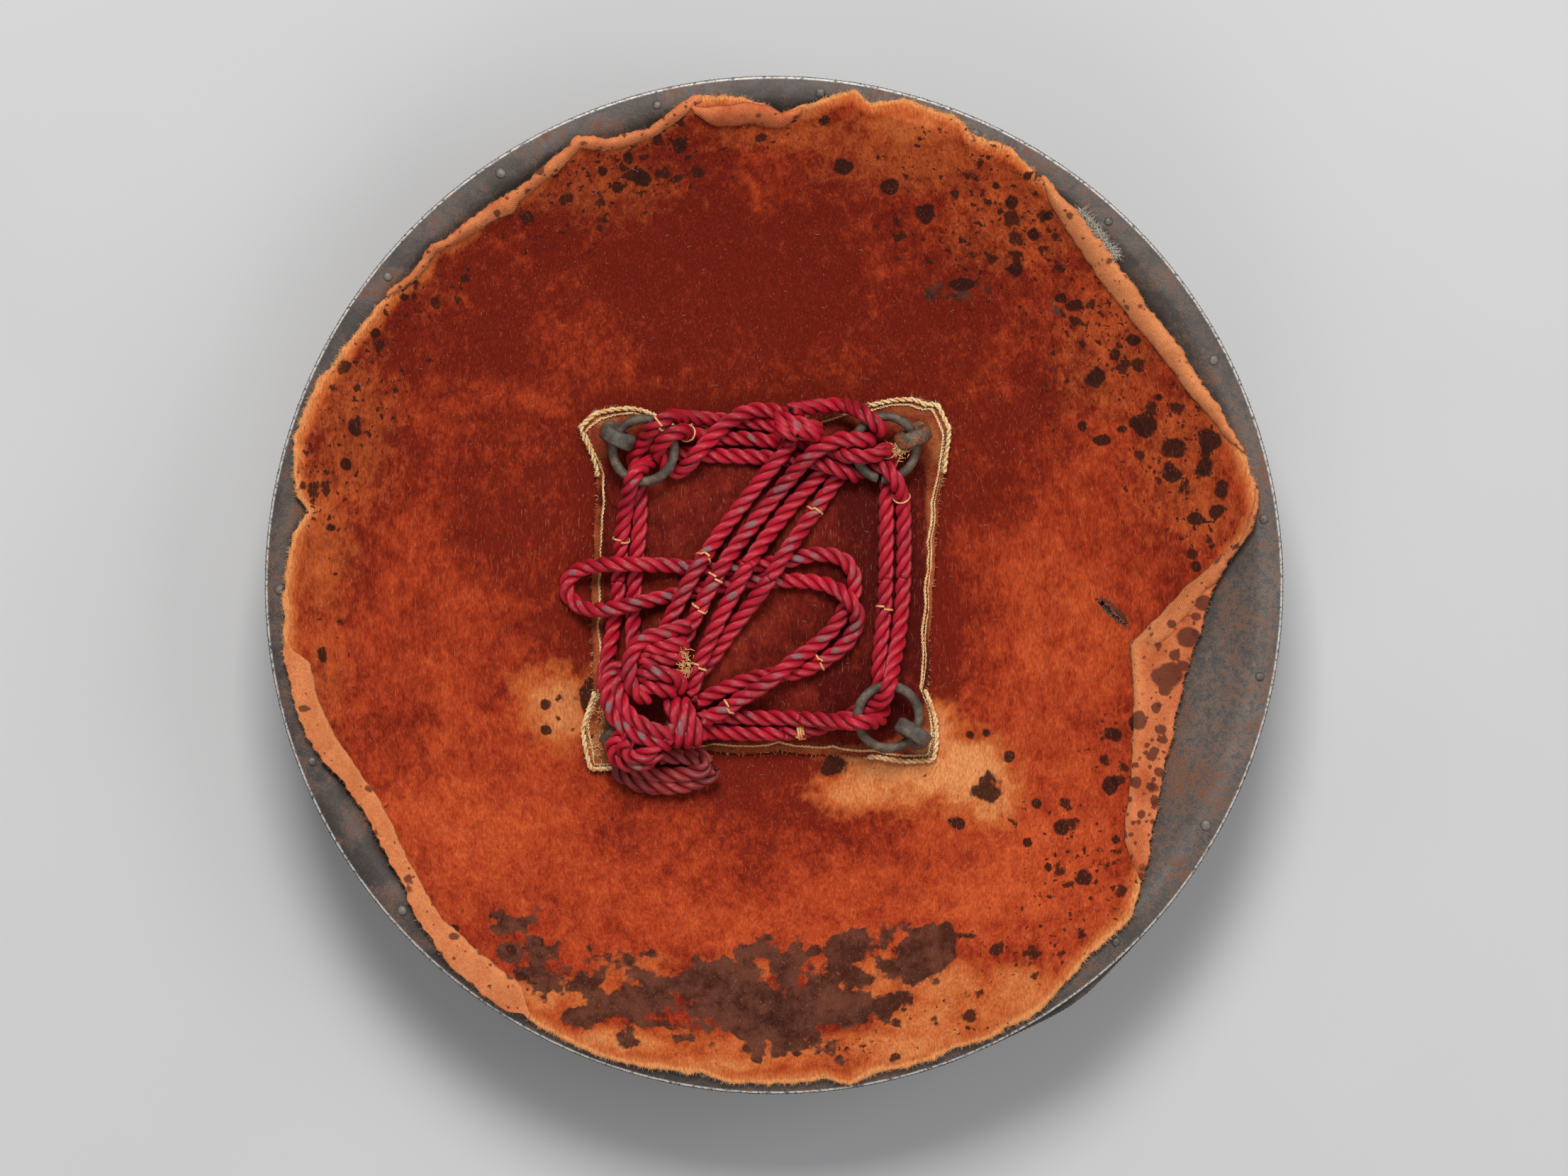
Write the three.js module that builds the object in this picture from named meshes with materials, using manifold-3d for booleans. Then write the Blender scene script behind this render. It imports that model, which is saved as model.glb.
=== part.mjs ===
// A round steel shield lying face down on its four bosses, seen into its hollow inner side.
// Millimetres, +Z up out of the bowl, +X to the right and +Y up across the rim.
// The origin is under the middle of the bowl, on the surface that the boss tips stand on.
import * as THREE from "three";
import { mergeVertices } from "three/addons/utils/BufferGeometryUtils.js";
import Module from "manifold-3d";

const wasm = await Module();
wasm.setup();

// Driving dimensions of the bowl
const RIM_RADIUS = 230;
const SHEET = 1.6;
const BOWL_DEPTH = 74;
const BOWL_CURVE = 2.1;
const FLANGE_WIDTH = 12;
const APEX_HEIGHT = 6.5;

// Rim band and its rivets
const BAND_SHEET = 1.2;
const BAND_WIDTH = 17;
const BAND_OVERHANG = 0.35;
const SPRING_OUT = 2.6;
const SPRING_DROP = 1.4;
const SPRING_MIDDLE = -54;
const SPRING_SPREAD = 5.5;
const RIVET_INSET = 6.5;
const RIVET_HEAD = 4.5;
const RIVET_DOME = 1.3;
const RIVET_SHANK = 2.8;
const RIVET_ANGLES = [
  7.7, 27.1, 47.4, 65.9, 84.6, 103.7, 123.6, 141.4, 161, 180.5,
  200.9, 221.2, 241.5, 261.8, 281, 298.1, 313.8, 330.9, 349.3,
];

// Fits
const HOLE_GAP = 0.3;
const SEAT_GAP = 0.3;
const CUT_OVERRUN = 6;

// Handle group: a square of four bosses, eyes and rings round the hand cushion
const HANDLE_SHIFT = -4.4;
const BOLT_INSET = 2.5;
const BOLT_INSET_LENGTH = 1;
const BOSS_WIDTH = 44;
const BOSS_FLANGE = 5;
const BOSS_SHEET = 1.2;
const BOSS_HEIGHT = 19.7;
const BOSS_TOP_WIDTH = 13;
const BOLT_SHANK = 6.4;
const BOLT_COLLAR = 9.6;
const COLLAR_THICKNESS = 1.8;
const BOLT_END = 9;
const BOLT_END_DOME = 1.2;
const EYE_HEIGHT = 24;
const EYE_OUTER = 17;
const EYE_STRIP = 3.2;
const EYE_WIDTH = 7.4;
const RING_OUTER = 33;
const RING_SECTION = 4.5;
const RING_PLAY = 0.3;
// Each corner: its side in X and Y, the way its eye bar points and the ring's rise from level
const CORNERS = [
  { name: "top_left", side: [-1, 1], bar: 153.6, rise: 8 },
  { name: "top_right", side: [1, 1], bar: 20.7, rise: 8 },
  { name: "bottom_right", side: [1, -1], bar: -32.7, rise: 8 },
  { name: "bottom_left", side: [-1, -1], bar: 219, rise: 2 },
];

// Lining of velvet over cotton wadding
const VELVET = 1.8;
const WADDING = 3;
const WADDING_EDGE = 0.8;
const WADDING_FALL = 4;
// Edge of the velvet every 15 degrees round from +X, as shares of the rim radius
const LINING_EDGE_SHARES = [
  0.87, 0.95, 0.917, 0.92, 0.95, 0.955, 0.93, 0.935, 0.942, 0.952, 0.955, 0.958,
  0.956, 0.958, 0.955, 0.955, 0.958, 0.955, 0.956, 0.958, 0.957, 0.95, 0.865, 0.84,
];
const LINING_CLEARANCE = 0.6;

// Square hand cushion
const CUSHION_WIDTH = 150;
const CUSHION_LENGTH = 147;
const CUSHION_CROWN = 24;
const CUSHION_FLANGE = 5.5;
const CUSHION_SKIN = 1.2;
const EAR_LENGTH = 5;
const EAR_SPREAD = 9;
const SEAM_SQUARENESS = 5;
const FLANGE_SQUARENESS = 10;
const CROWN_FULLNESS = 3.4;
const PIPING = 2.4;

// Silk cords of the grip
const CORD = 6.8;
// Routes of the crimson cords, from end to end
const CORDS = {
  lacing_1: [
    [-77.3, -46.2, 47.2], [-77.2, -40.3, 42.7], [-75.6, -30.1, 37.2], [-73.6, -19.3, 33.9],
    [-71.9, -10.3, 33.4], [-71.3, 1.1, 33.6], [-70.2, 14.8, 34.1], [-69.8, 21.5, 35.2],
    [-68.7, 30, 38.3], [-67.6, 36, 41.7], [-65.6, 45, 48.9], [-64.9, 47.2, 49.8], [-64, 49.4, 49.8],
    [-62.9, 51.4, 48.9], [-61.9, 52.8, 47.3], [-57.3, 55.7, 39.4], [-54.9, 58, 36.2],
    [-53, 59.1, 35.4], [-48.5, 60.1, 35.3], [-37, 59.7, 35.4], [-23, 59.1, 35.4], [-11.3, 58.7, 35.3],
    [2.6, 57.8, 35.4], [11.5, 57.1, 37.9], [17.7, 56.5, 41.1], [21.6, 55.5, 43.5], [30.4, 52.4, 44.1],
    [34.6, 50.9, 42.7], [36.1, 50.1, 41.1], [37.6, 50.4, 39.4], [41, 52.6, 37.8], [44.5, 54.8, 39.1],
    [45.9, 55.5, 40.7], [47.1, 55.5, 42.6], [52, 52.7, 46.4], [54.7, 49.3, 47.5], [55.7, 47.4, 47.1],
    [56.5, 45.6, 45.9], [58.3, 39.7, 39.6], [59.2, 32.1, 35.5], [59.4, 25.7, 34.3], [59.5, 16.9, 34.1],
    [59.3, 8, 34], [59, -0.9, 34.1], [58.2, -12.1, 34.4], [57.4, -18.8, 35.4], [56.6, -25.3, 37.3],
    [55.4, -31.4, 40.2], [52.5, -44.8, 49.2], [52, -47.1, 49.4], [50.3, -51.1, 47.4],
    [46.3, -54.2, 42.6], [37.3, -58.4, 37], [29.4, -61.9, 34.6], [16.7, -66.1, 33.1],
    [3.2, -67.8, 32.2], [-6, -68, 32.1], [-15.2, -67.9, 32.3], [-24.3, -67.4, 33.8],
    [-33.2, -66.8, 36.9], [-38.9, -66.9, 42.2],
  ],
  lacing_2: [
    [12.5, 71.8, 42.4], [10.4, 74, 38.4], [2.8, 78.8, 36.7], [-1.4, 79.9, 35.8], [-7.8, 80.2, 35.2],
    [-13.9, 78.8, 36], [-20.8, 74.5, 37.5], [-24, 72, 38.9], [-26.8, 69.2, 40.2], [-29.6, 66.2, 40.5],
    [-35, 60.3, 43], [-38.6, 55.6, 41.7], [-41.2, 53.3, 39.5], [-44.4, 52, 37.6], [-46.3, 52.3, 37.3],
    [-48.1, 52.9, 38], [-49.2, 53.7, 39.4], [-49.7, 54.9, 40.9], [-50.8, 58.2, 42.7],
    [-53.1, 60.9, 44.4], [-52.5, 62.9, 47.7], [-49.9, 66, 52.2], [-46.6, 68.3, 53.2],
    [-44.8, 69.2, 52.7], [-41.9, 70.1, 49.7], [-39.7, 69.3, 41.7], [-36.9, 68.8, 36.3],
    [-34, 68.5, 33.6], [-30.1, 68.1, 32.7], [-26, 67.4, 32.8], [-13.4, 67.1, 32.6], [1.8, 65.4, 33.2],
    [10.6, 64.9, 35], [16.9, 64.1, 37.5], [24.8, 62.3, 42.1], [28.6, 60.9, 44.6], [33.2, 59, 50],
    [35.5, 58.7, 51], [38, 58.6, 51.2], [43, 58.5, 50.1], [47.8, 60, 48.9], [49.5, 61.2, 47.2],
    [50.9, 61.6, 45], [52.1, 61.2, 42.7], [53.1, 58, 38.8], [52.1, 51, 36], [51.9, 48.5, 35.6],
    [51.3, 36.1, 36.2], [51.3, 26.3, 36.2], [51.2, 16.5, 36.2], [51.1, 6.9, 36.2], [50.8, -2.7, 36.2],
    [49.5, -19.3, 36.6], [48.6, -28.6, 36.8], [48, -37.9, 36.7], [48.2, -47.1, 36.1],
    [49.4, -53.8, 35.5], [49.6, -58.1, 36.7], [49.2, -59.9, 38.2], [47.3, -61.8, 41.8],
    [42.2, -62.4, 49.8], [40.2, -62.5, 51], [37.8, -62.7, 51.3], [35.5, -62.7, 50.7],
    [28.1, -62.2, 44.8], [22, -61.7, 41.4], [6.7, -60.8, 36.1], [-4.8, -60.7, 34.8],
    [-18.8, -60.1, 35], [-33.4, -59.3, 36.1],
  ],
  lacing_3: [
    [-63.8, -34.4, 45.4], [-64.3, -29.5, 42.6], [-64.6, -21.3, 38.4], [-64.4, -10.3, 35.5],
    [-63.8, 1.2, 35.6], [-62.8, 12.5, 35.9], [-61.8, 23.8, 36.2], [-61.2, 34.9, 36.4],
    [-61.9, 45.9, 35.9], [-63.9, 54.4, 35.7], [-64, 58.5, 37], [-63.3, 60.3, 38.1],
    [-58.9, 65.9, 43.4], [-55.9, 70.7, 50.4], [-54.5, 72, 51.8], [-51, 74.8, 52.4], [-47.6, 76.6, 50],
    [-43.2, 76.6, 42.3], [-39.1, 76.5, 37.2], [-35.7, 76.4, 34.5], [-29.8, 76, 31.6],
    [-23.4, 75.5, 30], [-14.6, 74.8, 29.4], [-7.9, 74.3, 30.1], [1.7, 72.8, 32.6],
  ],
  diagonal_1: [
    [6.8, 67, 45.8], [6.8, 63.9, 42.1], [1, 56.4, 42.8], [-4.8, 49.3, 40], [-10.7, 42, 38.7],
    [-20.7, 28.8, 39.3], [-26.2, 21.2, 41], [-35, 8.1, 46.6], [-42, -4.6, 46.2], [-46.2, -13.1, 45.2],
    [-51.8, -26, 46.7], [-52.3, -31.2, 49.6],
  ],
  diagonal_2: [
    [7.6, 79.5, 47.3], [8.7, 79.7, 46.1], [15.3, 80.8, 40.3], [20.6, 81.7, 36.9], [24.5, 82.2, 35.4],
    [28.4, 82.4, 35.2], [30.3, 82.4, 36], [33.2, 81.9, 38.6], [41.5, 78.1, 50], [44.6, 75.2, 51.2],
    [46.1, 73.6, 50.7], [48.4, 71.2, 47.7], [48.5, 70.6, 45.5], [47.9, 70.5, 43.4], [45, 70.2, 40.1],
    [39.7, 68.5, 36.8], [32.3, 64.6, 34.6], [27.3, 60.4, 35], [24.4, 57.1, 35.8], [21.4, 51.4, 36.8],
    [11.2, 40.3, 38.4], [5.4, 33.4, 39], [-0.1, 26.3, 39.9], [-5.4, 19.1, 42.5], [-11.5, 10, 47],
    [-17.1, -0.7, 47.1], [-22.7, -11, 44.4], [-26.9, -19.5, 43.7], [-33.6, -34.7, 45.6],
    [-35.7, -41.5, 45.8], [-37.6, -48.4, 45.2], [-38.6, -51.6, 47.4],
  ],
  diagonal_3: [
    [-43.6, -33.4, 47.4], [-42.5, -29.6, 46.7], [-41.3, -26.2, 45.8], [-37.6, -17.6, 44.9],
    [-34.5, -11.3, 45.1], [-29, -0.9, 47], [-23.1, 9.5, 46.8], [-18, 16.7, 43.2], [-12.6, 24, 40.6],
    [-7, 31.4, 39.5], [-1.3, 38.7, 39.7], [7.3, 49, 42.8], [15.6, 58.4, 48.6], [25, 64.5, 50.4],
    [31.3, 66.5, 51], [37.9, 66.3, 51.8], [41.9, 66.1, 49.9], [43, 65.9, 48], [42.8, 64, 44.1],
    [39.6, 61.1, 39.5], [35.1, 57.6, 36.8], [32.2, 54.7, 36.2], [28, 47.5, 37.4], [21.8, 38.8, 38.5],
    [14.3, 27.9, 39.8], [10.6, 22.5, 41.8], [4.4, 13.8, 46.6], [2, 9.7, 47.1], [-4.2, -0.5, 46.8],
    [-10.9, -9.2, 42.2], [-17.8, -18.4, 39.7], [-23.3, -26, 39.3], [-28.7, -33.6, 38.9],
    [-37.8, -44.4, 37.9], [-43.3, -53.2, 40.1],
  ],
  bight: [
    [-36.1, -54, 40.5], [-27.4, -49.6, 37.9], [-21.1, -46.8, 37.7], [-6, -41.6, 38.2],
    [5.1, -40.7, 38.3], [11.6, -39.4, 38.5], [17.8, -37, 38.7], [25.4, -32.9, 38.8], [32, -27.6, 38.7],
    [34.6, -24.3, 38.6], [36.5, -20.7, 39.1], [38, -15.2, 41.8], [36.8, -10.1, 45.3], [34.4, -6.7, 46],
    [32.9, -5.2, 45.5], [28.6, -1.9, 42.1], [25, -0.3, 40.5], [18.9, 1.3, 39.5], [8.1, 2.1, 39.6],
    [-5.1, 1.9, 39.6], [-18.4, 0.3, 39.6], [-31.8, -1.8, 39.3], [-47.2, -4.7, 38.5],
    [-53.7, -6.3, 39.4], [-64, -8.8, 43], [-74.6, -10.8, 40.5], [-84.6, -11.1, 33],
    [-87.9, -10.2, 30.8], [-91.1, -8.4, 29.1], [-93.8, -5.6, 28.7], [-95.2, -1.9, 29],
    [-94.5, 2, 28.9], [-92.1, 5.1, 28.8], [-88.8, 7.1, 30.1], [-85.4, 8.3, 32.1], [-75.4, 9.6, 39.6],
    [-73.6, 9.6, 40.8], [-64.9, 9.5, 43.1], [-60.4, 9.4, 42.9], [-54.2, 9.2, 40.3], [-47.6, 8.9, 38.9],
    [-34.1, 7.5, 39.1], [-22.9, 7.5, 39.5], [-9.6, 8.9, 39.6], [5.7, 11, 39.6], [14, 13.3, 39.6],
    [20.3, 14.1, 39.4], [28.5, 13, 39], [33.6, 9.8, 38.7], [36.5, 4.5, 38.4], [36.9, 0.4, 38.4],
    [36.4, -3.6, 38.4], [35.8, -5.6, 38.4], [33.3, -8.9, 38.6], [29.4, -16.4, 39], [25.4, -21.4, 39.2],
    [19.1, -27.3, 39.7], [7.1, -35.9, 44.6], [1.9, -40.3, 45.9], [-3.4, -44.8, 45], [-15, -51.8, 42.2],
    [-29, -60.3, 42.9], [-34.3, -61.7, 46.3],
  ],
};
// Knots, each between the middles of its two round ends
const KNOTS = {
  knot_top: { start: [5.1, 71.3, 51], end: [16, 71.3, 51], width: 12 },
  knot_coil: { start: [-57.4, -38.7, 55.5], end: [-51.6, -38.7, 55.5], width: 18 },
  knot_wrap: { start: [-72, -47.5, 55.9], end: [-53, -68.3, 55.9], width: 15 },
  knot_end: { start: [-40.4, -57.6, 51.5], end: [-38.5, -68.8, 51.5], width: 14 },
  knot_hank: { start: [-59.9, -84.8, 34.9], end: [-38.5, -83.6, 34.9], width: 14 },
};

// Smoothness of round shapes, in steps
const AROUND = 40;
const BOWL_STEPS = 10;
const LINING_RINGS = 8;
const BOSS_SIDES = 12;
const BOSS_STEPS = 3;
const RIVET_SIDES = 6;
const BOLT_SIDES = 12;
const RING_SIDES = 20;
const RING_SECTION_SIDES = 6;
const CORD_SIDES = 6;
const KNOT_CAP_STEPS = 3;
const KNOT_SIDES = 12;
const PIPING_STEPS = 32;
const PIPING_SIDES = 5;
const CUSHION_SIDES = 28;
// Rings of points across the cushion, as shares of the way from its middle to its seam
const CROWN_SHARES = [0.25, 0.5, 0.7, 0.85, 0.94];

// Points closer than this are one
const MERGE_DISTANCE = 0.001;

// Materials, in the colours of the photograph
const steel = { color: 0x4e4c4b, roughness: 0.55, metalness: 0.85 };
const rustySteel = { color: 0x5a4638, roughness: 0.75, metalness: 0.6 };
const ringIron = { color: 0x6a6058, roughness: 0.5, metalness: 0.8 };
const velvet = { color: 0xa83c1d, roughness: 1, metalness: 0 };
const darkVelvet = { color: 0x73200f, roughness: 1, metalness: 0 };
const cotton = { color: 0xd9cdb8, roughness: 1, metalness: 0 };
const crimsonSilk = { color: 0xb0183a, roughness: 0.6, metalness: 0 };
const canvas = { color: 0x9a7a55, roughness: 1, metalness: 0 };

const group = new THREE.Group();

function addMesh(name, geometry, look, parent = group) {
  const mesh = new THREE.Mesh(geometry, new THREE.MeshStandardMaterial(look));
  mesh.name = name;
  parent.add(mesh);
  return mesh;
}

// Heights of the bowl's inner face and its slope, at a radius
const flangeStart = RIM_RADIUS - FLANGE_WIDTH;
const rivetCircle = RIM_RADIUS - RIVET_INSET;
const rimHeight = APEX_HEIGHT + BOWL_DEPTH;

function bowlFace(radius) {
  return APEX_HEIGHT + BOWL_DEPTH * Math.min(radius / flangeStart, 1) ** BOWL_CURVE;
}

function bowlSlope(radius) {
  const share = Math.min(radius, flangeStart) / flangeStart;
  return (BOWL_CURVE * BOWL_DEPTH / flangeStart) * share ** (BOWL_CURVE - 1);
}

// A point of the face at a radius, moved out through the sheet by a distance
function throughSheet(radius, distance) {
  const tilt = Math.atan(bowlSlope(radius));
  const x = Math.max(radius + distance * Math.sin(tilt), 0);
  return new THREE.Vector2(x, bowlFace(radius) - distance * Math.cos(tilt));
}

// Turning a closed mesh into a solid for a cut or join, and back
function toSolid(geometry) {
  const bare = geometry.clone();
  bare.deleteAttribute("normal");
  bare.deleteAttribute("uv");
  const merged = mergeVertices(bare, MERGE_DISTANCE);
  return new wasm.Manifold(new wasm.Mesh({
    numProp: 3,
    vertProperties: new Float32Array(merged.attributes.position.array),
    triVerts: new Uint32Array(merged.index.array),
  }));
}

function toGeometry(solid) {
  const mesh = solid.getMesh();
  const geometry = new THREE.BufferGeometry();
  geometry.setAttribute("position", new THREE.BufferAttribute(mesh.vertProperties, mesh.numProp));
  geometry.setIndex(new THREE.BufferAttribute(mesh.triVerts, 1));
  geometry.computeVertexNormals();
  return geometry;
}

function cutFrom(geometry, cutters) {
  return toGeometry(cutters.reduce((solid, cutter) => solid.subtract(toSolid(cutter)), toSolid(geometry)));
}

// A profile of [radius, height] points turned about Z
function turned(points, sides) {
  const profile = points.map(([radius, height]) => new THREE.Vector2(radius, height));
  return new THREE.LatheGeometry(profile, sides).rotateX(Math.PI / 2);
}

// A rod about Z between two heights
function rod(radius, low, high, sides) {
  const geometry = new THREE.CylinderGeometry(radius, radius, high - low, sides).rotateX(Math.PI / 2);
  return geometry.translate(0, 0, (low + high) / 2);
}

function polar(radius, degrees) {
  const angle = THREE.MathUtils.degToRad(degrees);
  return [radius * Math.cos(angle), radius * Math.sin(angle)];
}

// A thin solid between two height fields, on rings of points about its middle, one ring per reach
function layerSolid({ middle = [0, 0], reaches, low, high, sides }) {
  const positions = [];
  const index = [];
  for (const field of [high, low]) {
    positions.push(...middle, field(...middle));
    for (const reach of reaches) {
      for (let side = 0; side < sides; side += 1) {
        const degrees = 360 * side / sides;
        const [x, y] = polar(reach(degrees), degrees);
        positions.push(middle[0] + x, middle[1] + y, field(middle[0] + x, middle[1] + y));
      }
    }
  }
  const rings = reaches.length;
  const perField = 1 + rings * sides;
  const at = (field, ring, side) => field * perField + (ring ? 1 + (ring - 1) * sides + side % sides : 0);
  const face = (field, ...corners) => index.push(...(field ? corners.reverse() : corners));
  for (const field of [0, 1]) {
    for (let side = 0; side < sides; side += 1) {
      face(field, at(field, 0), at(field, 1, side), at(field, 1, side + 1));
      for (let ring = 1; ring < rings; ring += 1) {
        face(field, at(field, ring, side), at(field, ring + 1, side), at(field, ring + 1, side + 1));
        face(field, at(field, ring, side), at(field, ring + 1, side + 1), at(field, ring, side + 1));
      }
    }
  }
  for (let side = 0; side < sides; side += 1) {
    index.push(at(0, rings, side), at(1, rings, side), at(1, rings, side + 1));
    index.push(at(0, rings, side), at(1, rings, side + 1), at(0, rings, side + 1));
  }
  const geometry = new THREE.BufferGeometry();
  geometry.setAttribute("position", new THREE.Float32BufferAttribute(positions, 3));
  geometry.setIndex(index);
  geometry.computeVertexNormals();
  return geometry;
}

// Bowl: a dished sheet whose edge turns out into a flat flange, drilled for rivets and bolts
function makeBowl(cutters) {
  const stations = [];
  for (let step = 0; step <= BOWL_STEPS; step += 1) {
    stations.push(flangeStart * step / BOWL_STEPS);
  }
  const inside = stations.map((radius) => new THREE.Vector2(radius, bowlFace(radius)));
  const outside = stations.map((radius) => throughSheet(radius, SHEET));
  outside[outside.length - 1] = new THREE.Vector2(flangeStart + SHEET / 2, rimHeight - SHEET);
  const profile = [
    ...outside,
    new THREE.Vector2(RIM_RADIUS, rimHeight - SHEET),
    new THREE.Vector2(RIM_RADIUS, rimHeight),
    ...inside.reverse(),
  ];
  const bowl = new THREE.LatheGeometry(profile, AROUND).rotateX(Math.PI / 2);
  return cutFrom(bowl, cutters);
}

// Rim band: a strip on the front of the flange and of the wall below it, sprung away at lower right
function makeBand(cutters) {
  const wallRadius = RIM_RADIUS - BAND_WIDTH;
  const bend = flangeStart + SHEET / 2;
  const top = rimHeight - SHEET;
  const wallTop = throughSheet(wallRadius, SHEET + SEAT_GAP);
  const wallLow = throughSheet(wallRadius, SHEET + SEAT_GAP + BAND_SHEET);
  const profile = [
    wallTop,
    wallLow,
    new THREE.Vector2(bend + SEAT_GAP + BAND_SHEET / 2, top - BAND_SHEET),
    new THREE.Vector2(RIM_RADIUS + BAND_OVERHANG, top - BAND_SHEET),
    new THREE.Vector2(RIM_RADIUS + BAND_OVERHANG, top),
    new THREE.Vector2(bend + SEAT_GAP, top),
    wallTop,
  ];
  const band = new THREE.LatheGeometry(profile, AROUND).rotateX(Math.PI / 2);
  const position = band.attributes.position;
  for (let i = 0; i < position.count; i += 1) {
    const x = position.getX(i);
    const y = position.getY(i);
    const radius = Math.hypot(x, y);
    const degrees = THREE.MathUtils.radToDeg(Math.atan2(y, x));
    const sprung = Math.exp(-(((degrees - SPRING_MIDDLE) / SPRING_SPREAD) ** 2));
    const edge = Math.max(radius - bend, 0) / (RIM_RADIUS - bend);
    const grown = 1 + SPRING_OUT * sprung * edge / radius;
    position.setXYZ(i, x * grown, y * grown, position.getZ(i) - SPRING_DROP * sprung * edge);
  }
  return cutFrom(band, cutters);
}

// Rivet: a domed head on the flange, a shank through both sheets and a peened end under the band
function makeRivet() {
  const head = RIVET_HEAD / 2;
  const shank = RIVET_SHANK / 2;
  const foot = -SHEET - BAND_SHEET - SEAT_GAP;
  return turned([
    [0, foot - RIVET_DOME],
    [head, foot],
    [shank, foot],
    [shank, 0],
    [head, 0],
    [head * Math.SQRT1_2, RIVET_DOME * Math.SQRT1_2],
    [0, RIVET_DOME],
  ], RIVET_SIDES);
}

function addRim() {
  const holeRadius = RIVET_SHANK / 2 + HOLE_GAP;
  const places = RIVET_ANGLES.map((degrees) => [...polar(rivetCircle, degrees), rimHeight]);
  const holes = places.map((place) => rod(holeRadius, -CUT_OVERRUN, CUT_OVERRUN, RIVET_SIDES).translate(...place));
  addMesh("bowl", makeBowl([...holes, ...corners.map(boltHole)]), steel);
  addMesh("rim_band", makeBand(holes), rustySteel);
  const rivet = makeRivet();
  places.forEach((place, i) => {
    const mesh = addMesh(`rim_rivet_${String(i + 1).padStart(2, "0")}`, rivet, rustySteel);
    mesh.position.set(...place);
  });
}

// Frame of one corner of the handle: origin on the bowl's face under the bolt, Z along the bolt
// and X along the eye bar, away from the ring
function cornerFrame({ side, bar }) {
  const x = HANDLE_SHIFT + side[0] * (CUSHION_WIDTH / 2 - BOLT_INSET);
  const y = side[1] * (CUSHION_LENGTH / 2 - BOLT_INSET_LENGTH);
  const radius = Math.hypot(x, y);
  const tilt = Math.atan(bowlSlope(radius));
  const up = new THREE.Vector3(-x * Math.sin(tilt) / radius, -y * Math.sin(tilt) / radius, Math.cos(tilt));
  const along = new THREE.Vector3(...polar(1, bar), 0);
  const eyeAxis = new THREE.Vector3().crossVectors(up, along).normalize();
  const outward = new THREE.Vector3().crossVectors(eyeAxis, up);
  return new THREE.Matrix4()
    .makeBasis(outward, eyeAxis, up)
    .setPosition(x, y, bowlFace(radius));
}

const corners = CORNERS.map((corner) => ({ ...corner, frame: cornerFrame(corner) }));

function boltHole({ frame }) {
  return rod(BOLT_SHANK / 2 + HOLE_GAP, -CUT_OVERRUN, 2 * CUT_OVERRUN, BOLT_SIDES).applyMatrix4(frame);
}

// Heights of the soft layers above the bowl's face
function paddingTop(x, y) {
  const radius = Math.hypot(x, y);
  const fall = Math.min(radius / flangeStart, 1) ** WADDING_FALL;
  return bowlFace(radius) + SEAT_GAP + WADDING + (WADDING_EDGE - WADDING) * fall;
}

function liningTop(x, y) {
  return paddingTop(x, y) + SEAT_GAP + VELVET;
}

// The velvet's edge, straight between the listed shares and clear of the rivet heads
function liningReach(degrees) {
  const step = 360 / LINING_EDGE_SHARES.length;
  const before = Math.floor(degrees / step) % LINING_EDGE_SHARES.length;
  const after = (before + 1) % LINING_EDGE_SHARES.length;
  const share = THREE.MathUtils.lerp(LINING_EDGE_SHARES[before], LINING_EDGE_SHARES[after], degrees / step % 1);
  return Math.min(share * RIM_RADIUS, rivetCircle - RIVET_HEAD / 2 - LINING_CLEARANCE);
}

// The wadding has the velvet's rings of points but the outermost, where the velvet's edge lies bare
function addLining() {
  const reaches = Array.from({ length: LINING_RINGS }, (_, ring) => {
    return (degrees) => liningReach(degrees) * (ring + 1) / LINING_RINGS;
  });
  const wadding = layerSolid({
    reaches: reaches.slice(0, -1),
    low: (x, y) => bowlFace(Math.hypot(x, y)) + SEAT_GAP,
    high: paddingTop,
    sides: AROUND,
  });
  const lining = layerSolid({
    reaches,
    low: (x, y) => paddingTop(x, y) + SEAT_GAP,
    high: liningTop,
    sides: AROUND,
  });
  addMesh("wadding", cutFrom(wadding, corners.map(boltHole)), cotton);
  addMesh("velvet_lining", cutFrom(lining, corners.map(boltHole)), velvet);
}

// Radius of a square with bowed sides, at an angle
function squareReach(halfWidth, halfLength, squareness, degrees) {
  const [x, y] = polar(1, degrees);
  const sum = Math.abs(x / halfWidth) ** squareness + Math.abs(y / halfLength) ** squareness;
  return sum ** (-1 / squareness);
}

function seamReach(degrees) {
  return squareReach(CUSHION_WIDTH / 2, CUSHION_LENGTH / 2, SEAM_SQUARENESS, degrees);
}

// The cushion's outer edge, drawn out into an ear at each corner
function earReach(degrees) {
  const halfWidth = CUSHION_WIDTH / 2 + CUSHION_FLANGE;
  const halfLength = CUSHION_LENGTH / 2 + CUSHION_FLANGE;
  const fromCorner = (degrees % 90) - 45;
  const ear = EAR_LENGTH * Math.exp(-((fromCorner / EAR_SPREAD) ** 2));
  return squareReach(halfWidth, halfLength, FLANGE_SQUARENESS, degrees) + ear;
}

function flangeTop(x, y) {
  return liningTop(x, y) + 3 * SEAT_GAP + 2 * CUSHION_SKIN;
}

// Top of the cushion: full in the middle and falling to the flange at the seam
function cushionTop(x, y) {
  const degrees = THREE.MathUtils.radToDeg(Math.atan2(y, x - HANDLE_SHIFT));
  const out = Math.min(Math.hypot(x - HANDLE_SHIFT, y) / seamReach(degrees), 1);
  const fullness = Math.sqrt(1 - out ** CROWN_FULLNESS);
  const crown = liningTop(HANDLE_SHIFT, 0) + CUSHION_CROWN;
  return THREE.MathUtils.lerp(flangeTop(x, y), crown, fullness);
}

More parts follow.
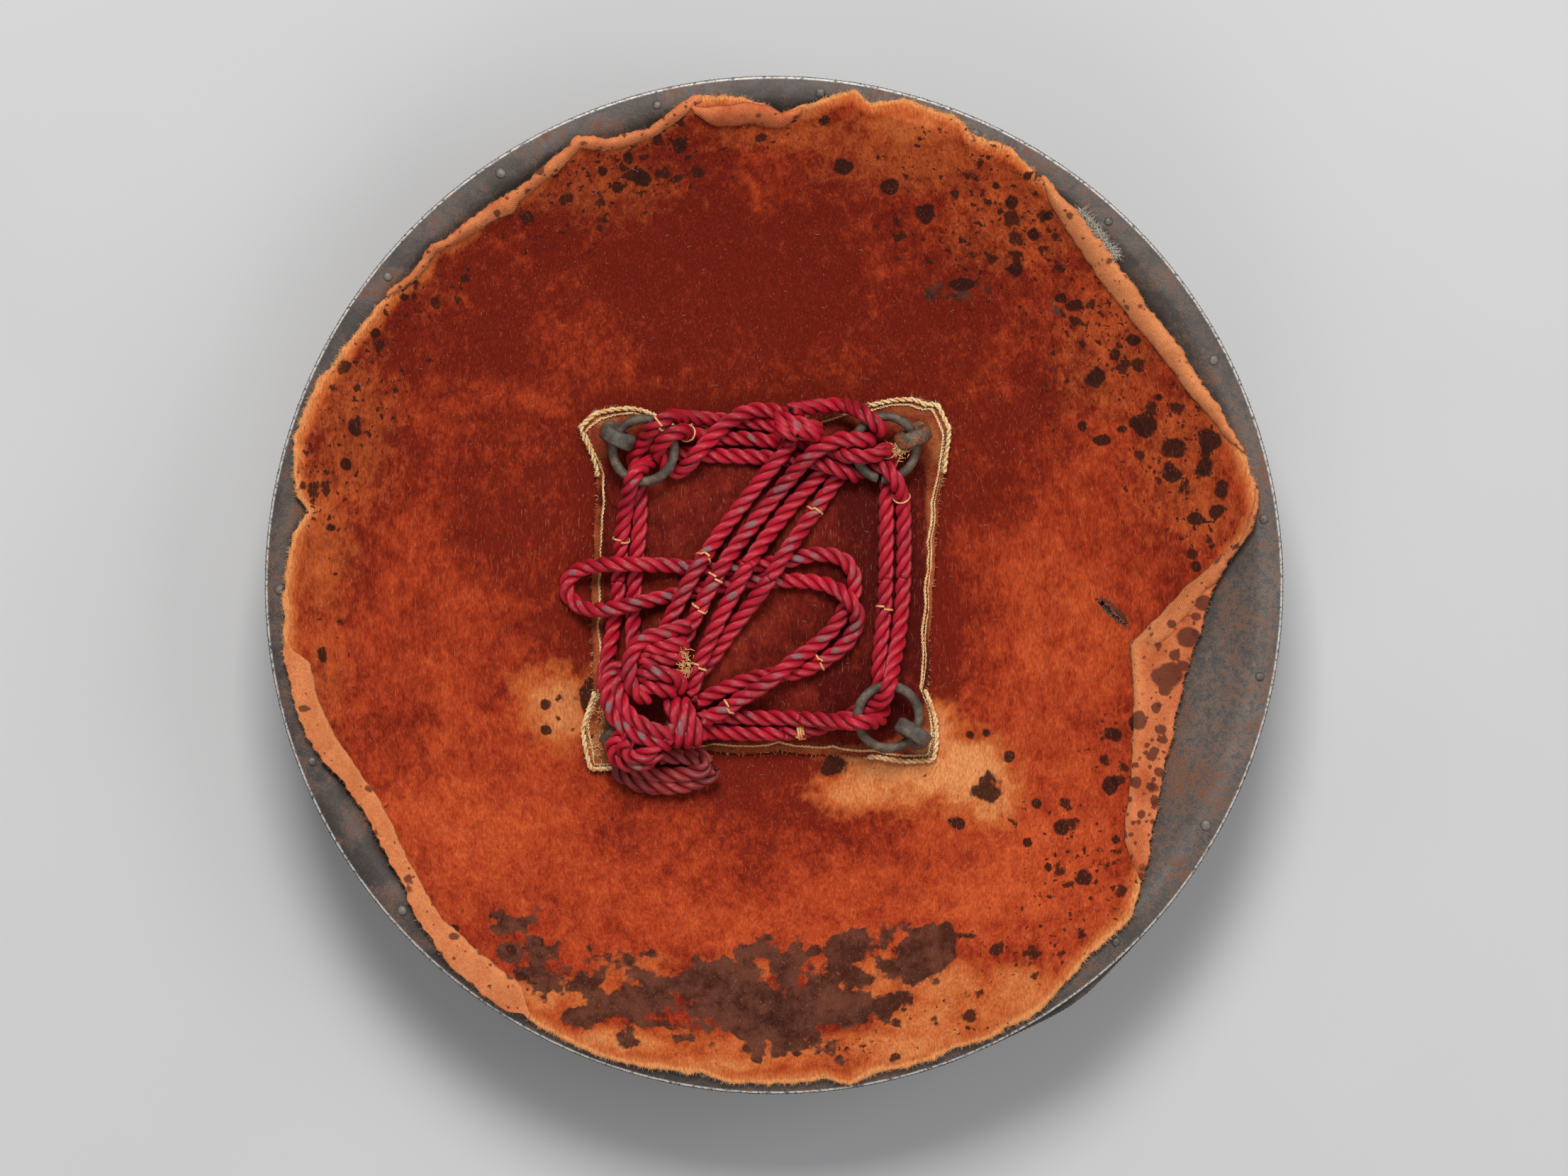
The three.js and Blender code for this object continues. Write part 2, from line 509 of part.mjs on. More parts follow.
function addCushion() {
  const middle = [HANDLE_SHIFT, 0];
  const crownReaches = CROWN_SHARES.map((share) => (degrees) => share * seamReach(degrees));
  const layer = (reaches, low, high) => layerSolid({ middle, reaches, low, high, sides: CUSHION_SIDES });
  const backLow = (x, y) => liningTop(x, y) + 2 * SEAT_GAP;
  const backTop = (x, y) => backLow(x, y) + CUSHION_SKIN;
  const stuffingLow = (x, y) => backTop(x, y) + SEAT_GAP;
  const stuffingTop = (x, y) => cushionTop(x, y) - CUSHION_SKIN - SEAT_GAP;
  const topLow = (x, y) => cushionTop(x, y) - CUSHION_SKIN;
  const holes = corners.map(boltHole);
  const back = layer([...crownReaches, earReach], backLow, backTop);
  const top = layer([...crownReaches, seamReach, earReach], topLow, cushionTop);
  addMesh("cushion_back", cutFrom(back, holes), canvas);
  addMesh("cushion_stuffing", layer(crownReaches, stuffingLow, stuffingTop), cotton);
  addMesh("cushion_top", cutFrom(top, holes), darkVelvet);
  const path = Array.from({ length: CUSHION_SIDES }, (_, side) => {
    const degrees = 360 * side / CUSHION_SIDES;
    const [x, y] = polar(seamReach(degrees) + PIPING / 2 + SEAT_GAP, degrees);
    return new THREE.Vector3(HANDLE_SHIFT + x, y, flangeTop(HANDLE_SHIFT + x, y) + PIPING / 2 + SEAT_GAP);
  });
  const seam = new THREE.CatmullRomCurve3(path, true);
  addMesh("cushion_piping", new THREE.TubeGeometry(seam, PIPING_STEPS, PIPING / 2, PIPING_SIDES, true), cotton);
}

// Boss: a hollow dome with a flange that sits on the bowl's front, its top pierced for the bolt
function makeBoss(seatRadius, height) {
  const flange = BOSS_WIDTH / 2;
  const dome = flange - BOSS_FLANGE;
  const top = BOSS_TOP_WIDTH / 2;
  const hole = BOLT_SHANK / 2 + HOLE_GAP;
  const seat = (radius) => SHEET + SEAT_GAP - radius ** 2 / (2 * seatRadius);
  const outer = [[flange, seat(flange)], [flange, seat(flange) + BOSS_SHEET]];
  const inner = [];
  for (let step = 0; step <= BOSS_STEPS; step += 1) {
    const turn = step / BOSS_STEPS * Math.PI / 2;
    const rise = BOSS_SHEET + seat(dome);
    const drop = height - rise;
    outer.push([top + (dome - top) * Math.cos(turn), rise + drop * Math.sin(turn)]);
    inner.push([top + (dome - BOSS_SHEET - top) * Math.cos(turn), seat(dome) + drop * Math.sin(turn)]);
  }
  const profile = [
    ...outer,
    [hole, height],
    [hole, height - BOSS_SHEET],
    ...inner.reverse(),
    outer[0],
  ];
  return turned(profile.reverse().map(([radius, depth]) => [radius, -depth]), BOSS_SIDES);
}

// Height at which a tilted boss stands on the level surface
function bossHeight(frame, seatRadius) {
  const boss = makeBoss(seatRadius, BOSS_HEIGHT).applyMatrix4(frame);
  boss.computeBoundingBox();
  return BOSS_HEIGHT + boss.boundingBox.min.z / frame.elements[10];
}

// Bolt: a shank riveted over the boss's top, a collar on the cushion and an eye bent from strip
function makeBolt(height) {
  const shank = BOLT_SHANK / 2;
  const tip = -height - SEAT_GAP;
  const collarLow = WADDING + VELVET + 2 * CUSHION_SKIN + 6 * SEAT_GAP;
  const stem = turned([
    [0, tip - BOLT_END_DOME],
    [BOLT_END / 2, tip],
    [shank, tip],
    [shank, collarLow],
    [BOLT_COLLAR / 2, collarLow],
    [BOLT_COLLAR / 2, collarLow + COLLAR_THICKNESS],
    [shank, collarLow + COLLAR_THICKNESS],
    [shank, EYE_HEIGHT - EYE_OUTER / 2 + EYE_STRIP / 2],
    [0, EYE_HEIGHT - EYE_OUTER / 2 + EYE_STRIP / 2],
  ], BOLT_SIDES);
  const bore = EYE_OUTER / 2 - EYE_STRIP;
  const eye = turned([
    [bore, -EYE_WIDTH / 2],
    [EYE_OUTER / 2, -EYE_WIDTH / 2],
    [EYE_OUTER / 2, EYE_WIDTH / 2],
    [bore, EYE_WIDTH / 2],
    [bore, -EYE_WIDTH / 2],
  ], RING_SIDES).rotateX(Math.PI / 2).translate(0, 0, EYE_HEIGHT);
  return toGeometry(toSolid(stem).add(toSolid(eye)));
}

// Ring: its centre is a mean radius away from where it passes through the eye, on the -X side
function makeRing() {
  const mean = (RING_OUTER - RING_SECTION) / 2;
  return new THREE.TorusGeometry(mean, RING_SECTION / 2, RING_SECTION_SIDES, RING_SIDES).translate(-mean, 0, 0);
}

function addHandle() {
  const ring = makeRing();
  const threadHeight = EYE_HEIGHT - (EYE_OUTER / 2 - EYE_STRIP - RING_SECTION / 2 - RING_PLAY);
  for (const { name, side, bar, rise, frame } of corners) {
    const station = new THREE.Group();
    frame.decompose(station.position, station.quaternion, station.scale);
    group.add(station);
    const radius = Math.hypot(station.position.x, station.position.y);
    const curved = radius * Math.hypot(1, bowlSlope(radius)) / bowlSlope(radius);
    const height = bossHeight(frame, curved);
    addMesh(`boss_${name}`, makeBoss(curved, height), rustySteel, station);
    addMesh(`eye_bolt_${name}`, makeBolt(height), ringIron, station);
    const inward = new THREE.Vector3(...polar(-Math.cos(THREE.MathUtils.degToRad(rise)), bar), 0);
    inward.z = Math.sin(THREE.MathUtils.degToRad(rise));
    inward.applyQuaternion(station.quaternion.clone().invert());
    const mesh = addMesh(`ring_${name}`, ring, ringIron, station);
    mesh.position.set(0, 0, threadHeight);
    mesh.rotation.y = Math.atan2(inward.z, -inward.x);
  }
}

// A smooth curve whose even steps fall on its points, so that tight bends get the closest steps
class CordPath extends THREE.CatmullRomCurve3 {
  getUtoTmapping(share) {
    return share;
  }
}

// A cord along its points
function addCord(name, points) {
  const extrudePath = new CordPath(points.map((point) => new THREE.Vector3(...point)));
  const section = new THREE.Shape().absarc(0, 0, CORD / 2, 0, 2 * Math.PI);
  const steps = points.length - 1;
  const tube = new THREE.ExtrudeGeometry(section, { extrudePath, steps, curveSegments: CORD_SIDES / 2 });
  addMesh(name, tube, crimsonSilk);
}

// A knot: a lump of wound cord with round ends
function addKnot(name, { start, end, width }) {
  const from = new THREE.Vector3(...start);
  const span = new THREE.Vector3(...end).sub(from);
  const lump = new THREE.CapsuleGeometry(width / 2, span.length(), KNOT_CAP_STEPS, KNOT_SIDES);
  const mesh = addMesh(name, lump, crimsonSilk);
  mesh.position.copy(from).addScaledVector(span, 1 / 2);
  mesh.quaternion.setFromUnitVectors(new THREE.Vector3(0, 1, 0), span.normalize());
}

addRim();
addLining();
addCushion();
addHandle();
Object.entries(CORDS).forEach(([name, points]) => addCord(name, points));
Object.entries(KNOTS).forEach(([name, knot]) => addKnot(name, knot));

export default group;
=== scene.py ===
# A round steel shield seen into its hollow side, with a velvet lining, a hand cushion and a cord
# grip: its looks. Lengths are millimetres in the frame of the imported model, until a mesh is made.
import math

import bpy
import numpy as np
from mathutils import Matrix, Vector, noise


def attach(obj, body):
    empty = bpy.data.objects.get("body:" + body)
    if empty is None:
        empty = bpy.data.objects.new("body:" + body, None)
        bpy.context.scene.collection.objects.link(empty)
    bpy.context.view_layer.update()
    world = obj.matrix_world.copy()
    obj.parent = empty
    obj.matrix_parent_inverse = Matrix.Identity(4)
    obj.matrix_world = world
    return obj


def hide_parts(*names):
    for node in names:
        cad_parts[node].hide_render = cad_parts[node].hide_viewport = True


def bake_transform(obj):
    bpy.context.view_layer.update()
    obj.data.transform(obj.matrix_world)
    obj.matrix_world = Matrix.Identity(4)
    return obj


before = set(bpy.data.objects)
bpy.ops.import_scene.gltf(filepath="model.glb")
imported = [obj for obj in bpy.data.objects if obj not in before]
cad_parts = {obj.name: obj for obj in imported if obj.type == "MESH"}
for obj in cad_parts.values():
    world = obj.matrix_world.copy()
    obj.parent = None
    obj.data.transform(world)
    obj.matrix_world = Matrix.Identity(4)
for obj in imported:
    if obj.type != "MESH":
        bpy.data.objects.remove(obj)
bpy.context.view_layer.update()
MM = 0.001
TURN = 2 * math.pi
rng = np.random.default_rng(7)

# Places read off the photograph, in its pixels, and millimetres to a pixel
PHOTO_SIZE = (2212, 1659)
RIM_MIDDLE = (1092.0, 825.3)
PIXEL = 0.32056

# Sizes shared with the solids
RIM_RADIUS = 230
SHEET = 1.6
BOWL_DEPTH = 74
BOWL_CURVE = 2.1
FLANGE_START = 218
APEX_HEIGHT = 6.5
RIM_HEIGHT = APEX_HEIGHT + BOWL_DEPTH
LINING_RISE, LINING_FALL = 5.4, 2.2
HANDLE_X = -4.4
CORNER_OUT = 72.5
SEAM_HALF_WIDTH, SEAM_HALF_LENGTH, SEAM_SQUARENESS = 75, 73.5, 5
SEAM_RISE, CROWN_RISE, CROWN_CURVE = 3.3, 24, 3.4


def at(px, py):
    """The place of a pixel of the photograph."""
    return (px - RIM_MIDDLE[0]) * PIXEL, (RIM_MIDDLE[1] - py) * PIXEL


def places(pixels):
    return np.array([at(*p) for p in pixels])


def rgb(r, g, b):
    """A colour given as a picture's 0 to 255 values."""
    share = [c / 255 for c in (r, g, b)]
    return [c / 12.92 if c <= 0.04045 else ((c + 0.055) / 1.055) ** 2.4 for c in share] + [1]


def smooth(edge0, edge1, x):
    t = np.clip((x - edge0) / (edge1 - edge0), 0, 1)
    return t * t * (3 - 2 * t)


def wobble(points, size, seed=0, octaves=3):
    """Smooth random values from -1 to 1 at points, with features about a size across."""
    shift = seed * 17.31
    return np.array([
        noise.fractal(Vector((p[0] / size + shift, p[1] / size - shift, (p[2] if len(p) > 2 else 0) / size)),
                      1.0, 2.0, octaves) for p in np.asarray(points, float)])


def pairs(x, y):
    return np.stack([x, y], 1)


def circle(angle, radius=1.0):
    """X and Y of points at angles about the middle."""
    return radius * np.cos(angle), radius * np.sin(angle)


def angles(count):
    """A full turn in even steps."""
    return np.arange(count) * TURN / count


def unit(v):
    return v / np.maximum(np.linalg.norm(v, axis=-1, keepdims=True), 1e-9)


# Bowl and the layers on it
def bowl_face(radius):
    return APEX_HEIGHT + BOWL_DEPTH * np.minimum(radius / FLANGE_START, 1) ** BOWL_CURVE


def bowl_slope(radius):
    share = np.minimum(radius, FLANGE_START) / FLANGE_START
    return BOWL_CURVE * BOWL_DEPTH / FLANGE_START * share ** (BOWL_CURVE - 1)


def lining_top(x, y):
    radius = np.hypot(x, y)
    return bowl_face(radius) + LINING_RISE - LINING_FALL * np.minimum(radius / FLANGE_START, 1) ** 4


def seam_share(x, y):
    """How far out a place lies on the cushion: 1 at its seam, which is a square with round corners."""
    angle = np.arctan2(y, x - HANDLE_X)
    c, s = np.abs(np.cos(angle) / SEAM_HALF_WIDTH), np.abs(np.sin(angle) / SEAM_HALF_LENGTH)
    return np.hypot(x - HANDLE_X, y) / (c**SEAM_SQUARENESS + s**SEAM_SQUARENESS) ** (-1 / SEAM_SQUARENESS)


def cushion_top(x, y):
    seam = lining_top(x, y) + SEAM_RISE
    crown = lining_top(HANDLE_X, 0.0) + CROWN_RISE
    return seam + (crown - seam) * np.sqrt(1 - np.minimum(seam_share(x, y), 1) ** CROWN_CURVE)


# Meshes
def make(name, points, faces, looks, smooth_faces=True, marks=None, uv=None, face_looks=None):
    """A mesh from millimetre points; marks are named values per point, uv one pair per point."""
    data = bpy.data.meshes.new(name)
    data.from_pydata((np.asarray(points, float) * MM).tolist(), [], [list(map(int, f)) for f in faces])
    data.polygons.foreach_set("use_smooth", [smooth_faces] * len(data.polygons))
    for look in looks if isinstance(looks, list) else [looks]:
        data.materials.append(look)
    if face_looks is not None:
        data.polygons.foreach_set("material_index", np.asarray(face_looks, np.int32))
    for key, values in (marks or {}).items():
        held = data.attributes.new(key, "FLOAT", "POINT").data
        held.foreach_set("value", np.asarray(values, np.float32))
    if uv is not None:
        corners = np.empty(len(data.loops), np.int32)
        data.loops.foreach_get("vertex_index", corners)
        data.uv_layers.new(name="UVMap").data.foreach_set("uv", np.asarray(uv, np.float32)[corners].ravel())
    data.validate()
    obj = bpy.data.objects.new(name, data)
    bpy.context.scene.collection.objects.link(obj)
    return obj


def grid_faces(rows, columns, closed=False, start=0):
    """Quads of a grid of rows by columns points, the columns closed into a ring if asked."""
    r, c = np.meshgrid(np.arange(rows - 1), np.arange(columns if closed else columns - 1), indexing="ij")
    near, c = r.ravel() * columns, c.ravel()
    far, d = near + columns, (c + 1) % columns
    return start + np.stack([near + c, near + d, far + d, far + c], 1)


def slab_faces(rings, sides, kept=None):
    """Faces of a disc with a hole: a grid of rings, another below it, and walls at both edges."""
    upper = [f[::-1] for f in grid_faces(rings, sides, closed=True).tolist()]
    if kept:
        upper = [f for f in upper if kept(f)]
    count, last = rings * sides, (rings - 1) * sides
    rim = [[last + i, last + (i + 1) % sides, count + last + (i + 1) % sides, count + last + i]
           for i in range(sides)]
    caps = [list(range(sides)), list(range(count, count + sides))[::-1]]
    return upper + [[i + count for i in f[::-1]] for f in upper] + rim + caps


def join(parts):
    """Points and faces of several parts as one."""
    points, faces, start = [], [], 0
    for p, f in parts:
        points.append(np.asarray(p, float))
        faces += [[start + int(i) for i in face] for face in f]
        start += len(p)
    return np.vstack(points), faces


# Materials
class Value:
    """A number that a material works out at each point, so that sums of them are written as usual."""

    def __init__(self, look, socket):
        self.look, self.socket = look, socket

    def __add__(self, other):
        return self.look.math("ADD", self, other)

    def __sub__(self, other):
        return self.look.math("SUBTRACT", self, other)

    def __rsub__(self, other):
        return self.look.math("SUBTRACT", other, self)

    def __mul__(self, other):
        return self.look.math("MULTIPLY", self, other)

    __radd__, __rmul__ = __add__, __mul__


class Look:
    """A node material, built a node at a time."""

    def __init__(self, name, **values):
        self.material = bpy.data.materials.new(name)
        self.material.use_nodes = True
        self.tree = self.material.node_tree
        self.shader = self.tree.nodes["Principled BSDF"]
        self.fill(self.shader, {key.replace("_", " "): value for key, value in values.items()})
        self.place = self.node("TexCoord", "Object", {})

    def fill(self, node, inputs):
        for key, value in inputs.items():
            if isinstance(value, Value):
                self.tree.links.new(value.socket, node.inputs[key])
            else:
                node.inputs[key].default_value = value

    def node(self, kind, output, inputs, **settings):
        """One output of a new node with its settings and inputs."""
        made = self.tree.nodes.new("ShaderNode" + kind)
        for key, value in settings.items():
            setattr(made, key, value)
        self.fill(made, inputs)
        return Value(self, made.outputs[output])

    def math(self, operation, a, b):
        return self.node("Math", 0, {0: a, 1: b}, operation=operation)

    def most(self, first, *others):
        for other in others:
            first = self.math("MAXIMUM", first, other)
        return first

    def scaled(self, scale, turn=(0, 0, 0)):
        return self.node("Mapping", 0, {"Vector": self.place, "Scale": scale, "Rotation": turn})

    def noise(self, size, detail=3.0, rough=0.55, place=None, distortion=0.0, output="Fac"):
        """Noise from 0 to 1 with features about a size across."""
        return self.node("TexNoise", output, {
            "Vector": place or self.place, "Scale": 1 / (size * MM), "Detail": detail, "Roughness": rough,
            "Distortion": distortion})

    def warped(self, amount, size):
        """The place moved about by up to an amount, so that round shapes turn ragged."""
        shift = self.noise(size, 3, 0.5, output="Color")
        return self.node("VectorMath", 0, {0: shift, 1: (amount * MM,) * 3, 2: self.place},
                         operation="MULTIPLY_ADD")

    def cells(self, size, place=None):
        """How far the nearest of scattered points is, and a chance that goes with that point."""
        far = self.node("TexVoronoi", "Distance", {"Vector": place or self.place, "Scale": 1 / (size * MM)},
                        feature="F1")
        return far, Value(self, far.socket.node.outputs["Color"])

    def spots(self, size, mark, largest, place):
        """Above zero inside spots, whose sizes vary and which a mark allows."""
        far, chance = self.cells(size, place)
        return mark * self.range(chance, 0.32, 0.78, 0.0, largest) - far

    def fibres(self, turn):
        """Short fine hairs lying one way."""
        return self.range(self.noise(0.55, 2, 0.6, self.scaled((1, 0.09, 1), (0, 0, turn)), 0.4), 0.64, 0.76)

    def bands(self, way, scale, distortion, place=None):
        return self.node("TexWave", "Fac", {
            "Vector": place or self.place, "Scale": scale, "Distortion": distortion},
            wave_type="BANDS", bands_direction=way)

    def threads(self, way, spacing, distortion):
        """Bands across one way of a weave, a spacing apart."""
        return self.bands(way, 0.314 / (spacing * MM), distortion)

    def mark(self, name):
        return self.node("Attribute", "Fac", {}, attribute_name=name)

    def range(self, value, low, high, to_low=0.0, to_high=1.0):
        return self.node("MapRange", "Result", {
            "Value": value, "From Min": low, "From Max": high, "To Min": to_low, "To Max": to_high},
            interpolation_type="SMOOTHSTEP")

    def mix(self, share, a, b):
        # The colour sockets come after the number and vector ones
        return self.node("Mix", 2, {0: share, 6: a, 7: b}, data_type="RGBA")

    def worn_down(self, value, low, high, colour, share, shade):
        """The colour where a value is high, and a share of a shade in it where it is low."""
        return self.mix(self.range(value, low, high), self.mix(share, colour, shade), colour)

    def bump(self, height, distance, strength):
        return self.node("Bump", "Normal", {
            "Strength": strength, "Distance": distance * MM, "Height": height})

    def done(self, colour, rough, normal):
        self.fill(self.shader, {"Base Color": colour, "Normal": normal})
        if rough:
            self.fill(self.shader, {"Roughness": rough})
        return self.material


def steel_look(name, dark, light, rust, rusty, size, painted_rim_highlight=False):
    """Old steel: brown and grey, freckled with rust."""
    look = Look(name, Metallic=0.3)
    broad = look.noise(size * 2.6, 4, 0.6, distortion=0.6)
    middle = look.noise(size * 0.45, 5, 0.7)
    fine = look.noise(0.8, 4, 0.7)
    colour = look.mix(look.range(broad, 0.36, 0.64), dark, light)
    # Lighter grey steel on the right flank: partly bare metal, partly painted light
    bared_and_lit = look.mix(look.range(middle, 0.36, 0.64), rgb(98, 96, 95), rgb(140, 118, 104))
    colour = look.mix(look.mark("bare_and_lit"), colour, bared_and_lit)
    patch = broad * 0.55 + middle * 0.5 + fine * 0.4
    share = look.range(patch, 0.86 - 0.2 * rusty, 1.02 - 0.2 * rusty) * 0.8
    colour = look.worn_down(fine, 0.3, 0.7, look.mix(share, colour, rust), 0.5, rgb(26, 24, 24))
    # Painted highlight: a thin, broken light line along the rim's outer edge
    if painted_rim_highlight:
        out = look.node("VectorMath", "Value", {0: look.scaled((1, 1, 0))}, operation="LENGTH")
        edge = look.range(out, (RIM_RADIUS - 1.3) * MM, (RIM_RADIUS - 0.5) * MM)
        edge = edge * look.range(look.noise(1.6, 3, 0.7), 0.32, 0.56)
        colour = look.mix(edge, colour, rgb(206, 202, 196))
    pits = look.range(look.cells(1.9)[0], 0.0, 0.16)
    rough = look.range(fine * 0.5 + share, 0.1, 1.3, 0.5, 0.85)
    return look.done(colour, rough, look.bump(fine * 0.6 + pits * 0.5 + middle, 0.22, 0.7))


steel = steel_look("bowl_steel", rgb(70, 60, 55), rgb(98, 90, 85), rgb(140, 92, 66), 0.75, 9, True)
band_steel = steel_look("band_steel", rgb(66, 59, 55), rgb(90, 85, 82), rgb(124, 82, 58), 0.7, 7)
boss_steel = steel_look("boss_steel", rgb(74, 70, 67), rgb(104, 102, 100), rgb(124, 86, 62), 0.5, 6)
rivet_steel = steel_look("rivet_steel", rgb(100, 94, 88), rgb(140, 134, 127), rgb(132, 96, 74), 0.5, 3)


def iron_look(name, base, light, rust, rusty):
    """Forged iron, with rust in patches."""
    look = Look(name, Metallic=0.3)
    fine = look.noise(0.8, 4, 0.7)
    colour = look.mix(look.range(look.noise(5, 4, 0.6), 0.35, 0.7), base, light)
    patch = look.noise(3.4, 4, 0.7, distortion=0.5)
    share = look.range(patch, 0.72 - 0.25 * rusty, 0.86 - 0.25 * rusty)
    colour = look.worn_down(fine, 0.35, 0.7, look.mix(share, colour, rust), 0.4, rgb(25, 20, 18))
    return look.done(colour, look.range(fine, 0.2, 0.8, 0.45, 0.8), look.bump(fine + share * 0.8, 0.3, 0.8))


ring_iron = iron_look("ring_iron", rgb(84, 74, 64), rgb(132, 117, 100), rgb(136, 92, 60), 0.4)
eye_iron = iron_look("eye_iron", rgb(84, 77, 69), rgb(126, 116, 104), rgb(150, 90, 50), 0.35)
rusty_eye_iron = iron_look("rusty_eye_iron", rgb(92, 80, 70), rgb(138, 122, 106), rgb(190, 104, 44), 1.0)


def cloth_look(name, dark, light, size, weave=0.9, sheen=0.15, depth=0.35):
    """Plain woven cloth, lighter and darker in patches, with crossed threads."""
    look = Look(name, Roughness=0.95, Sheen_Weight=sheen)
    net = look.threads("X", weave, 1.2) * look.threads("Y", weave, 1.2)
    colour = look.mix(look.range(look.noise(size), 0.35, 0.65), dark, light)
    # Painted shade between the crossed threads: a share of dark brown where the weave sinks
    return look.done(look.worn_down(net, 0.0, 0.5, colour, depth, rgb(50, 30, 18)), None,
                     look.bump(net, 0.3, 0.6))


cotton = cloth_look("cotton", rgb(214, 200, 176), rgb(236, 228, 214), 6, 1.4)
piping = cloth_look("piping", rgb(240, 180, 118), rgb(255, 226, 172), 5, 0.9, 0.05, 0.08)
whipping = cloth_look("whipping_thread", rgb(236, 150, 92), rgb(252, 200, 136), 3, 0.8, 0.05, 0.1)
lint = cloth_look("lint", rgb(206, 186, 170), rgb(232, 220, 208), 4, 0.3)
fibre = cloth_look("tan_fibre", rgb(250, 176, 104), rgb(255, 216, 150), 4, 0.8, 0.05, 0.02)
frayed = cloth_look("fray", rgb(220, 146, 88), rgb(246, 192, 130), 5, 0.8)
torn = cloth_look("torn_thread", rgb(206, 96, 56), rgb(238, 150, 96), 5, 0.3)


def velvet_look(name, deep, base, bright, worn, edge, combed=0.35):
    """Worn velvet: marks on the mesh say where it is worn, burnt dark or spotted, and where shade and light
    are painted.
    """
    look = Look(name, Roughness=0.92, Sheen_Weight=0.05, Sheen_Roughness=0.45, Sheen_Tint=bright,
                Specular_IOR_Level=0.12)
    pile = look.noise(0.9, 4, 0.75, look.scaled((1, combed, 1), (0, 0, 0.8)))
    short = look.noise(3.2, 5, 0.72, look.scaled((1, 0.55, 1), (0, 0, 1.3)), 0.7)
    broad = look.noise(24, 5, 0.6, distortion=0.5)
    middle = look.noise(8, 5, 0.66, distortion=0.4)
    # The tone mark carries painted shade and painted light, added to the velvet's random tone
    tone_and_shading = broad * 0.6 + short * 0.75 + middle * 0.5 + 0.175 + look.mark("tone_and_shading")
    colour = look.mix(look.range(tone_and_shading, 0.9, 1.24), deep, base)
    colour = look.mix(look.range(tone_and_shading, 1.12, 1.6), colour, bright)
    fuzz = look.mark("worn") + (short + middle - 1.0) * 0.55
    colour = look.mix(look.range(fuzz, 0.05, 0.6), colour, worn)
    colour = look.mix(look.range(fuzz, 0.45, 1.1), colour, edge)
    # Burnt patches, ragged at their edges
    near = look.mark("burnt")
    burnt = near * 0.8 + (look.noise(17, 5, 0.58) - 0.5) * 3.2 * look.range(near, 0.05, 0.35)
    scorch = look.mix(look.range(look.noise(13, 4, 0.62), 0.4, 0.6), rgb(50, 24, 18), rgb(92, 53, 40))
    scorch = look.mix(look.range(short, 0.35, 0.7) * 0.2, scorch, rgb(120, 76, 58))
    colour = look.mix(look.range(burnt, 0.3, 0.52, 0, 0.96), colour, scorch)
    # Dark spots: scattered ones of three sizes, and those given one by one
    ragged = look.warped(6.0, 3.6)
    allowed = look.mark("spotty") * look.range(look.noise(15, 2), 0.26, 0.46)
    spots = look.most(*(look.spots(size, allowed, largest, ragged)
                        for size, largest in ((9.5, 0.5), (4.2, 0.44), (2.6, 0.36))))
    colour = look.mix(look.range(spots, -0.05, 0.1, 0, 0.92), colour, rgb(58, 26, 18))
    spot = look.mark("spot") + (short - 0.5) * 1.3
    colour = look.mix(look.range(spot, 0.3, 0.72, 0, 0.94), colour, rgb(46, 22, 17))
    # Shadow between the tufts, less of it where the pile is burnt off, and hairs caught on top
    depth = 0.5 - look.range(burnt, 0.3, 0.52, 0, 0.34)
    colour = look.worn_down(pile, 0.28, 0.7, colour, depth, rgb(46, 8, 2))
    hairs = look.most(look.fibres(0.9), look.fibres(2.3), look.fibres(-0.3))
    colour = look.mix(hairs * 0.26, colour, rgb(232, 150, 112))
    return look.done(colour, None, look.bump(pile + short * 0.8, 0.35, 0.8))


lining_velvet = velvet_look("lining_velvet", rgb(122, 30, 14), rgb(176, 60, 28), rgb(222, 98, 48),
                            rgb(204, 98, 46), rgb(238, 154, 92))
cushion_velvet = velvet_look("cushion_velvet", rgb(82, 14, 10), rgb(122, 32, 20), rgb(156, 58, 38),
                             rgb(170, 84, 48), rgb(222, 146, 92), 0.85)


def reverse_look():
    """The woven back of the velvet, where its edge is turned over."""
    look = Look("turned_velvet", Roughness=0.95, Sheen_Weight=0.05, Specular_IOR_Level=0.12)
    fine = look.noise(1.2, 4, 0.7)
    colour = look.mix(look.range(look.noise(14, 4), 0.35, 0.65), rgb(190, 92, 52), rgb(218, 124, 78))
    colour = look.mix(look.mark("worn"), colour, rgb(238, 164, 102))
    colour = look.worn_down(fine, 0.3, 0.7, colour, 0.35, rgb(120, 50, 26))
    ragged, allowed = look.warped(2.2, 2.4), look.mark("spotty")
    spots = look.most(look.spots(6.5, allowed, 0.42, ragged), look.spots(3.1, allowed, 0.4, ragged))
    colour = look.mix(look.range(spots, -0.06, 0.12, 0, 0.85), colour, rgb(92, 44, 34))
    spot = look.mark("spot") + (fine - 0.5) * 0.8
    colour = look.mix(look.range(spot, 0.3, 0.75, 0, 0.85), colour, rgb(86, 42, 34))
    return look.done(colour, None, look.bump(look.threads("DIAGONAL", 0.8, 2.5) + fine, 0.25, 0.6))


turned_velvet = reverse_look()


